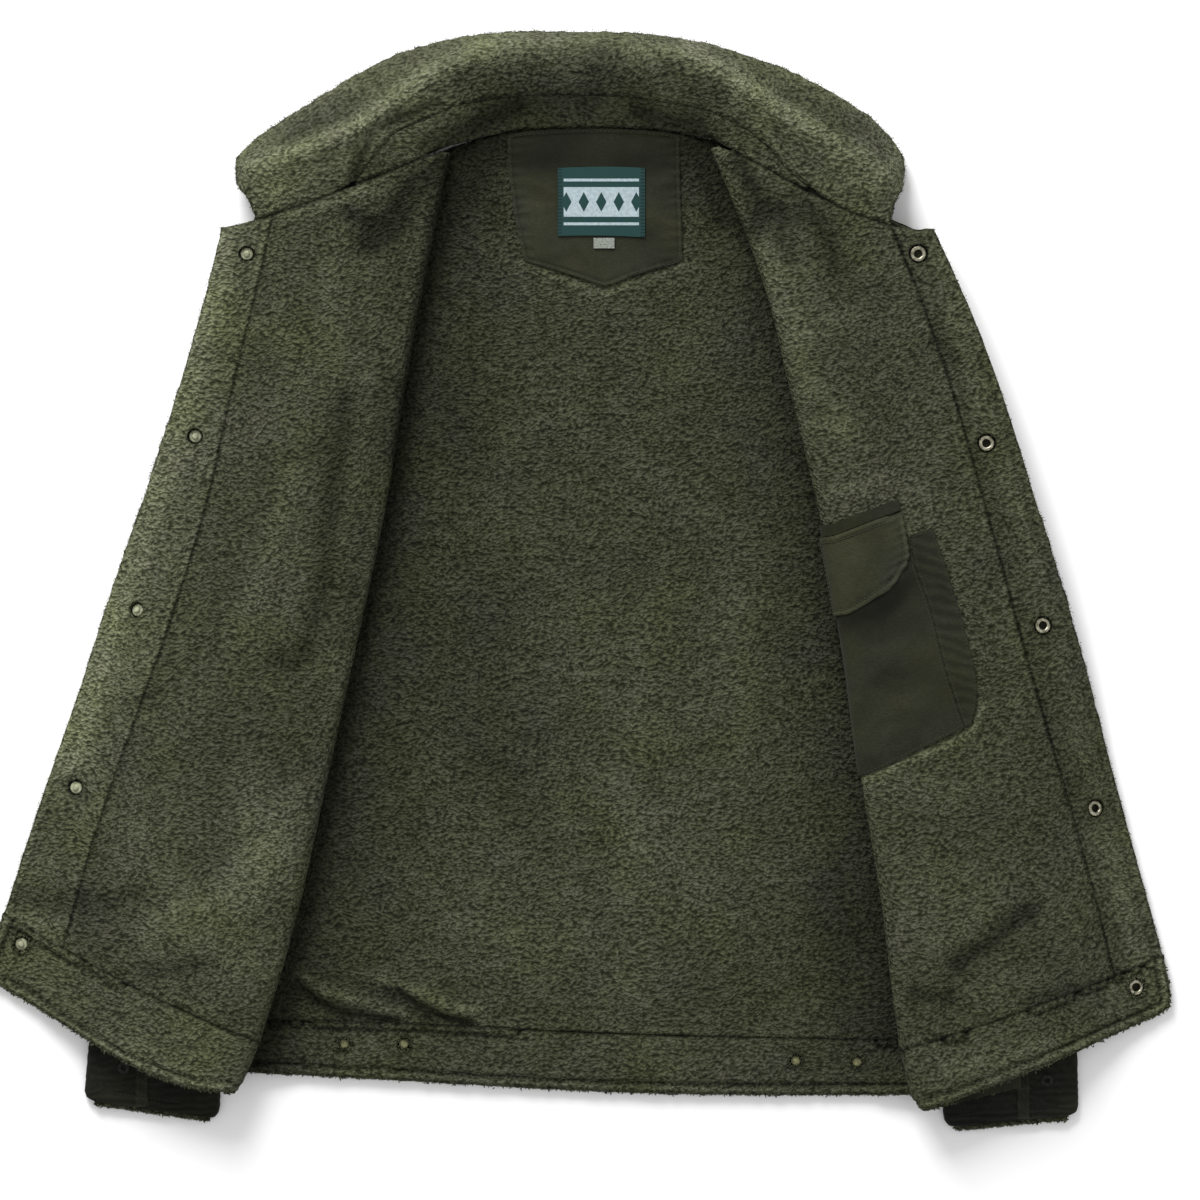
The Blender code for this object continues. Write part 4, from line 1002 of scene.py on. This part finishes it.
# %% Tufts along free edges
Fringe = namedtuple("Fringe", "each size")
FRINGES = {"hem_band_back": Fringe(5, 0.9), "hem_band_left": Fringe(5, 1.0),
           "hem_band_right": Fringe(5, 1.0), "placket_left": Fringe(4, 0.45),
           "placket_right": Fringe(4, 0.45), "collar_fall": Fringe(4, 0.48),
           "cuff_lining_left": Fringe(6, 1.0), "cuff_lining_right": Fringe(6, 1.0)}
OFF_SEAM, TUFT_ROOT, TUFT_SPREAD, TUFT_SIZES = 3 * MM, 0.4 * MM, 0.7 * MM, (0.6, 1.25)
LEAST_SHOWN = 0.2
dice = np.random.default_rng(11)
for name, (each, size) in FRINGES.items():
    cloth = cloths[name]
    rims = cloth.rims()
    free = nearest(cloth.points[rims], seam_rims[name], OFF_SEAM) >= OFF_SEAM
    rims = np.repeat(rims[free & (shown[name][rims] > LEAST_SHOWN)], each)
    out = cloth.point_normals()[rims]
    points = cloth.points[rims] - out * TUFT_ROOT + dice.normal(0, TUFT_SPREAD, (len(rims), 3))
    sizes = size * dice.uniform(*TUFT_SIZES, len(rims))
    finish = built[name].data.materials[0]
    fringes[name] = scattered(f"{name}_fringe", name, TUFT, finish, points, sizes, aim=out)
    print(name, len(rims), "tufts")

# %% [markdown]
# ## Canvas pieces
# The shell, sleeves, cuffs, neck patch and pocket are thin canvas. Stitching draws it into small
# puckers beside its rows; the flap's bound edge stands up, and the pocket side is pleated.
# %% Canvas colours
# Painted light and shade in these colours: the under-collar is shell canvas darkened as painted
# shade, and the left cuff and its strip are made paler than the right ones as painted light.
SHELL = (0.020, 0.020, 0.013)
CANVAS = {"back_shell": SHELL, "front_left_shell": SHELL, "front_right_shell": SHELL,
          "under_collar": (0.008, 0.008, 0.006), "sleeve_left": SHELL, "sleeve_right": SHELL,
          "neck_patch": (0.0182, 0.0193, 0.0107), "pocket_bag": (0.0178, 0.0187, 0.0101),
          "pocket_side": (0.0178, 0.0187, 0.0103), "pocket_flap": (0.0256, 0.0273, 0.0155),
          "pocket_binding": (0.017, 0.018, 0.010), "cuff_left": (0.0112, 0.0116, 0.0083),
          "cuff_right": (0.0096, 0.0101, 0.0073), "cuff_strip_left": (0.0165, 0.0171, 0.0125),
          "cuff_strip_right": (0.0150, 0.0157, 0.0115)}
CANVAS_EDGE = {"neck_patch": 2.5 * MM, "pocket_bag": 2.8 * MM, "pocket_side": 2.0 * MM,
               "pocket_flap": 2.1 * MM, "pocket_binding": 1.6 * MM}
CANVAS_SHOWN, CANVAS_HIDDEN = 4.4 * MM, 16 * MM


# %% Puckers
Wave = namedtuple("Wave", "lean pitch stray")
WAVES = {"neck_patch": Wave(0, 7.5, 1.6), "pocket_side": Wave(0.25, 8.6, 2.2),
         "pocket_flap": Wave(-0.55, 6.4, 1.2), "pocket_bag": Wave(0, 31.0, 2.2),
         "cuff": Wave(0, 5.2, 2.6)}
PATCH_MIDDLE, PATCH_SMOOTH, FLAP_SMOOTH = 13, 44, 205     # in plan, in millimetres


def puckers(name, points, to_edge):
    """Height of a canvas piece's small creases, by its distance from its edges, and its tone:
    painted light on ridges and painted shade in grooves and troughs; the bound edges are paler, as
    wear and painted highlight.
    """
    def ridge(inset, width):
        return hill(to_edge - inset * MM, width * MM)

    x, y = points[:, 0] / MM, points[:, 1] / MM
    wander = field(points, 9 * MM)
    kind = kind_of(name, WAVES)
    if kind is None:
        return 0.2 * wander, 1 + 0.08 * wander
    lean, pitch, stray = WAVES[kind]
    wave = np.sin((y + lean * x) / pitch * math.tau + stray * wander)
    if kind == "neck_patch":
        wave = wave * (ridge(0, 11) * (np.abs(x - PATCH_MIDDLE) > PATCH_SMOOTH))
        bound, groove = ridge(1.0, 1.1), ridge(3.0, 0.9)
        return (0.35 * wave + 0.4 * bound - 0.35 * groove,
                1 + 0.16 * wave + 0.15 * bound - 0.28 * groove)
    if kind == "pocket_flap":
        wave = wave * (ridge(0, 9) * np.clip((x - FLAP_SMOOTH) / 20, 0, 1))
        bound, groove = ridge(1.4, 1.5) * (y < 45), ridge(4.0, 0.8) * (y < 40)
        return (0.4 * wave + 0.5 * bound - 0.35 * groove,
                1 + 0.14 * wave + 0.42 * bound - 0.28 * groove)
    if kind == "pocket_side":
        wave = wave * (0.35 + 0.65 * ridge(6, 6))
        return 0.40 * wave, 1 + 0.15 * wave
    if kind == "pocket_bag":
        crown = 1 - ridge(0, 9)
        return 0.9 * crown + 0.25 * wave * crown, 1 + 0.06 * wave
    return 0.25 * wave, 1 + 0.35 * wave


# %% Build the canvas
canvases = {}
for name, colour in CANVAS.items():
    cloth = Cloth(name)
    cloth.refine(CANVAS_HIDDEN)
    cloth.refine(np.where(seen(cloth), CANVAS_EDGE.get(name, CANVAS_SHOWN), CANVAS_HIDDEN))
    weight = cloth.share(cloth.limit < CANVAS_HIDDEN)
    to_edge = nearest(cloth.points, cloth.points[cloth.rims()], 30 * MM)
    pucker, shade = puckers(name, cloth.points, to_edge)
    height, tone = formed(name, cloth.points)
    cloth.points = cloth.points + cloth.point_normals() * (pucker * MM * weight)[:, None]
    cloth.points = tucked(cloth.points)
    cloth.points[:, 2] += height * (1.0 if name in WHOLE else weight)
    canvases[name] = cloth
    finish = canvas(f"{name}_canvas", colour)
    built[name] = finished_piece(cloth, f"{name}_cloth", name, finish,
                                 tone=np.clip(tone * shade, *TONE_RANGE))
    print(name, len(cloth.faces))


# %% [markdown]
# ## Stitches
# Each stitch is a short grain of thread, half sunk in the cloth. It could be drawn in a bump, but
# a grain of its own catches light and throws a shadow. Rows run parallel to a piece's edge: the
# edge's points are moved inwards, then stepped along at the stitch length.
# %% Stitch tree
def stitch_shape(tree, given):
    ball = add(tree, "GeometryNodeMeshUVSphere", {"Segments": 6, "Rings": 4, "Radius": 0.5})
    scale = add(tree, "ShaderNodeCombineXYZ", {0: given["Length"], 1: given["Thickness"],
                                               2: given["Thickness"]}).outputs[0]
    return add(tree, "GeometryNodeTransform", {"Geometry": ball.outputs["Mesh"],
                                               "Scale": scale}).outputs[0]


def stitch_turn(tree):
    node = add(tree, "FunctionNodeAxesToRotation", {0: named_vector(tree, "up"),
                                                    1: named_vector(tree, "aim")},
               primary_axis="Z", secondary_axis="X")
    return node.outputs[0]


STITCH = scatter_tree("stitch", {"Length": 2.5 * MM, "Thickness": 0.55 * MM},
                      stitch_shape, stitch_turn)
PLIES = 1500.0                  # to the metre


def thread(name, colour):
    made, tree, shader = material(name, 0.7, specular=0.3)
    place = object_place(tree)
    ply = noise(tree, place, PLIES).outputs[0]
    twist = ramp(tree, ply, (0.3, tinted(colour, 0.55)), (0.7, tinted(colour, 1.4)))
    finish_surface(tree, shader, twist, ply, 0.1 * MM)
    return made


# %% Rows of stitches
CLEAR_SHARE = 0.93              # points that the move brings nearer another edge are left out
ROW_BREAK = 4 * MM


def borders(cloth, up):
    """Closed rows of corners round the smooth faces that look up (or down)."""
    a, b = cloth.faces.ravel(), np.roll(cloth.faces, -1, axis=1).ravel()
    count = len(cloth.point_of)
    alone = ~np.isin(a * count + b, b * count + a)
    after = dict(zip(a[alone], b[alone]))
    rows = []
    while after:
        row = [next(iter(after))]
        while row[-1] in after:
            row.append(after.pop(row[-1]))
        if cloth.normals[row, 2].mean() * up > 0.5:
            rows.append(np.array(row[:-1]))
    return rows


def edge_row(cloth, corners, inset, pitch):
    """Places, directions and normals of stitches along a border, moved inwards."""
    points = cloth.points[cloth.point_of[corners]]
    normals = cloth.normals[corners]
    aims = unit(np.roll(points, -1, axis=0) - np.roll(points, 1, axis=0))
    moved = points + np.cross(normals, aims) * inset
    clear = nearest(moved, points, inset) > CLEAR_SHARE * inset
    kept, row, since = moved[clear], [], pitch
    for i in range(1, len(kept)):
        step = kept[i] - kept[i - 1]
        length = np.linalg.norm(step)
        if length > ROW_BREAK:
            continue
        way = pitch - since
        while way <= length:
            row.append((kept[i - 1] + step * way / length, step / length,
                        normals[clear][i]))
            way += pitch
        since = length - (way - pitch)
    return [np.array(column) for column in zip(*row)] if row else None


# %% Sew the rows
Seam = namedtuple("Seam", "inset pitch up below", defaults=(1, math.inf))
SEAMS = {"neck_patch": Seam(1.8, 3.2), "pocket_bag": Seam(1.6, 3.0, below=12),
         "pocket_side": Seam(1.5, 3.0), "pocket_flap": Seam(4.0, 3.0),
         "cuff_left": Seam(8.0, 3.1, below=-370), "cuff_right": Seam(8.0, 3.1, below=-362),
         "cuff_strip_left": Seam(1.6, 3.1), "cuff_strip_right": Seam(1.6, 3.1),
         "back_shell": Seam(9.0, 3.4, up=-1), "sleeve_left": Seam(7.0, 3.4, up=-1),
         "sleeve_right": Seam(7.0, 3.4, up=-1)}
THREAD_PALER = 1.5
for name, seam in SEAMS.items():
    cloth, parts = canvases[name], []
    colour = tinted(CANVAS[name], THREAD_PALER)
    for corners in borders(cloth, seam.up):
        made = edge_row(cloth, corners, seam.inset * MM, seam.pitch * MM)
        if made is not None:
            keep = made[0][:, 1] / MM < seam.below
            parts.append([column[keep] for column in made])
    if parts:
        places, aims, ups = (np.vstack(columns) for columns in zip(*parts))
        scattered(f"{name}_stitches", name, STITCH, thread(f"{name}_thread", colour),
                  places, 1.0, aim=aims, up=ups)
        print(name, len(places), "stitches")

# %% [markdown]
# ## Label and tab
# The woven label is plain geometry with its pattern in the shader: a teal ground with a pale
# band of diamonds and thin pale lines, all made from distances to the label's middle.
# %% Woven label
TEAL, DARK_TEAL, PALE = (0.009, 0.040, 0.037), (0.004, 0.017, 0.017), (0.36, 0.44, 0.47)
BAND, LINE, LINE_WIDTH, MARGIN = 0.42, 0.62, 0.04, 0.86    # shares of the half height or width
DIAMONDS = 2.5                                            # to each half


def label_material():
    made, tree, shader = material("label_weave", 0.75, specular=0.2)
    low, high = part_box("woven_label")
    middle, half = (low + high) / 2, (high - low) / 2
    place = object_place(tree)
    local = add(tree, "ShaderNodeMapping", {
        "Vector": place, "Location": (-middle.x / half.x, -middle.y / half.y, 0.0),
        "Scale": (1 / half.x, 1 / half.y, 1.0)})
    x, y, _ = add(tree, "ShaderNodeSeparateXYZ", {0: local.outputs[0]}).outputs   # -1 to 1
    across = maths(tree, "ABSOLUTE", x)
    band = maths(tree, "ABSOLUTE", y)
    saw = maths(tree, "PINGPONG", maths(tree, "MULTIPLY", x, DIAMONDS), 0.5)
    diamond = maths(tree, "MULTIPLY_ADD", band, 1.5, maths(tree, "MULTIPLY", saw, 1.4))
    pale = maths(tree, "MULTIPLY", maths(tree, "LESS_THAN", band, BAND),
                 maths(tree, "GREATER_THAN", diamond, BAND))
    line = maths(tree, "ABSOLUTE", maths(tree, "SUBTRACT", band, LINE))
    pale = maths(tree, "MAXIMUM", pale, maths(tree, "LESS_THAN", line, LINE_WIDTH))
    pale = maths(tree, "MULTIPLY", pale, maths(tree, "LESS_THAN", across, MARGIN))
    pick = add(tree, "ShaderNodeTexWave", {"Vector": place, "Scale": 620.0, "Distortion": 1.0},
               bands_direction="Y").outputs["Fac"]
    knots = add(tree, "ShaderNodeTexWave", {"Vector": place, "Scale": 130.0, "Distortion": 2.0},
                bands_direction="Y").outputs["Fac"]
    edge = maths(tree, "MULTIPLY", maths(tree, "GREATER_THAN", across, 0.9), knots)
    teal = ramp(tree, edge, (0.2, TEAL), (0.9, DARK_TEAL))
    white = ramp(tree, noise(tree, place, 500.0).outputs[0],
                 (0.3, tinted(PALE, 0.8)), (0.7, tinted(PALE, 1.1)))
    colour = vector_maths(tree, "ADD", scaled(tree, white, pale),
                          scaled(tree, teal, maths(tree, "SUBTRACT", 1.0, pale)))
    shade = remap(tree, pick, 0.0, 1.0, 0.82, 1.1)
    height = maths(tree, "MULTIPLY_ADD", pale, 0.6, pick)
    finish_surface(tree, shader, scaled(tree, colour, shade), height, 0.15 * MM, 0.8)
    return made


def tab_material():
    made, tree, shader = material("tab_weave", 0.7, specular=0.2)
    place = object_place(tree)
    grain = noise(tree, place, 900.0).outputs[0]
    # Its pale weave is darkened to grey as painted shade where the tab curls.
    colour = ramp(tree, grain, (0.3, (0.10, 0.11, 0.09)), (0.7, (0.27, 0.29, 0.26)))
    finish_surface(tree, shader, colour, grain, 0.15 * MM, 0.8)
    return made


LABEL_EDGE, LABEL_WAVE = 2.0 * MM, 0.12 * MM
for name, finish in (("woven_label", label_material()), ("size_tab", tab_material())):
    cloth = Cloth(name)
    cloth.refine(LABEL_EDGE)
    wave = LABEL_WAVE * field(cloth.points, 12 * MM)
    cloth.points[:, 2] += wave * (cloth.point_normals()[:, 2] > 0)
    built[name] = finished_piece(cloth, f"{name}_weave", name, finish)

# %% [markdown]
# ## Snaps
# The turned profiles of the solids are already right, so nothing is modelled anew: dividing them
# makes them round. Brass is uneven, dull in some places and rubbed bright in others.
# %% Snap metal
WEAR = 380.0                    # spots to the metre


def metal(name, dull, bright, roughness, metallic):
    made, tree, shader = material(name, roughness, metallic=metallic, specular=0.4)
    place = object_place(tree)
    wear = noise(tree, place, WEAR, detail=3.0).outputs[0]
    colour = ramp(tree, wear, (0.35, dull), (0.65, bright))
    finish_surface(tree, shader, colour, wear, 0.1 * MM, 0.4)
    return made


METALS = {"snap_socket": metal("pale_brass", (0.20, 0.19, 0.13), (0.50, 0.48, 0.37), 0.36, 1.0),
          "snap_post": metal("worn_brass", (0.19, 0.20, 0.12), (0.36, 0.37, 0.25), 0.7, 0.0),
          "adjuster_stud": metal("old_brass", (0.13, 0.13, 0.06), (0.25, 0.245, 0.12), 0.7, 0.0),
          "cuff_snap": metal("dark_metal", (0.006, 0.006, 0.005), (0.020, 0.020, 0.017), 0.6, 0.6)}
SNAP_EDGE = 1.3 * MM
for name in METAL:
    cloth = Cloth(name)
    cloth.refine(SNAP_EDGE)
    finish = METALS[kind_of(name, METALS)]
    built[name] = finished_piece(cloth, f"{name}_metal", name, finish)
print(len(METAL), "snaps")

# %% Finish
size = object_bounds()
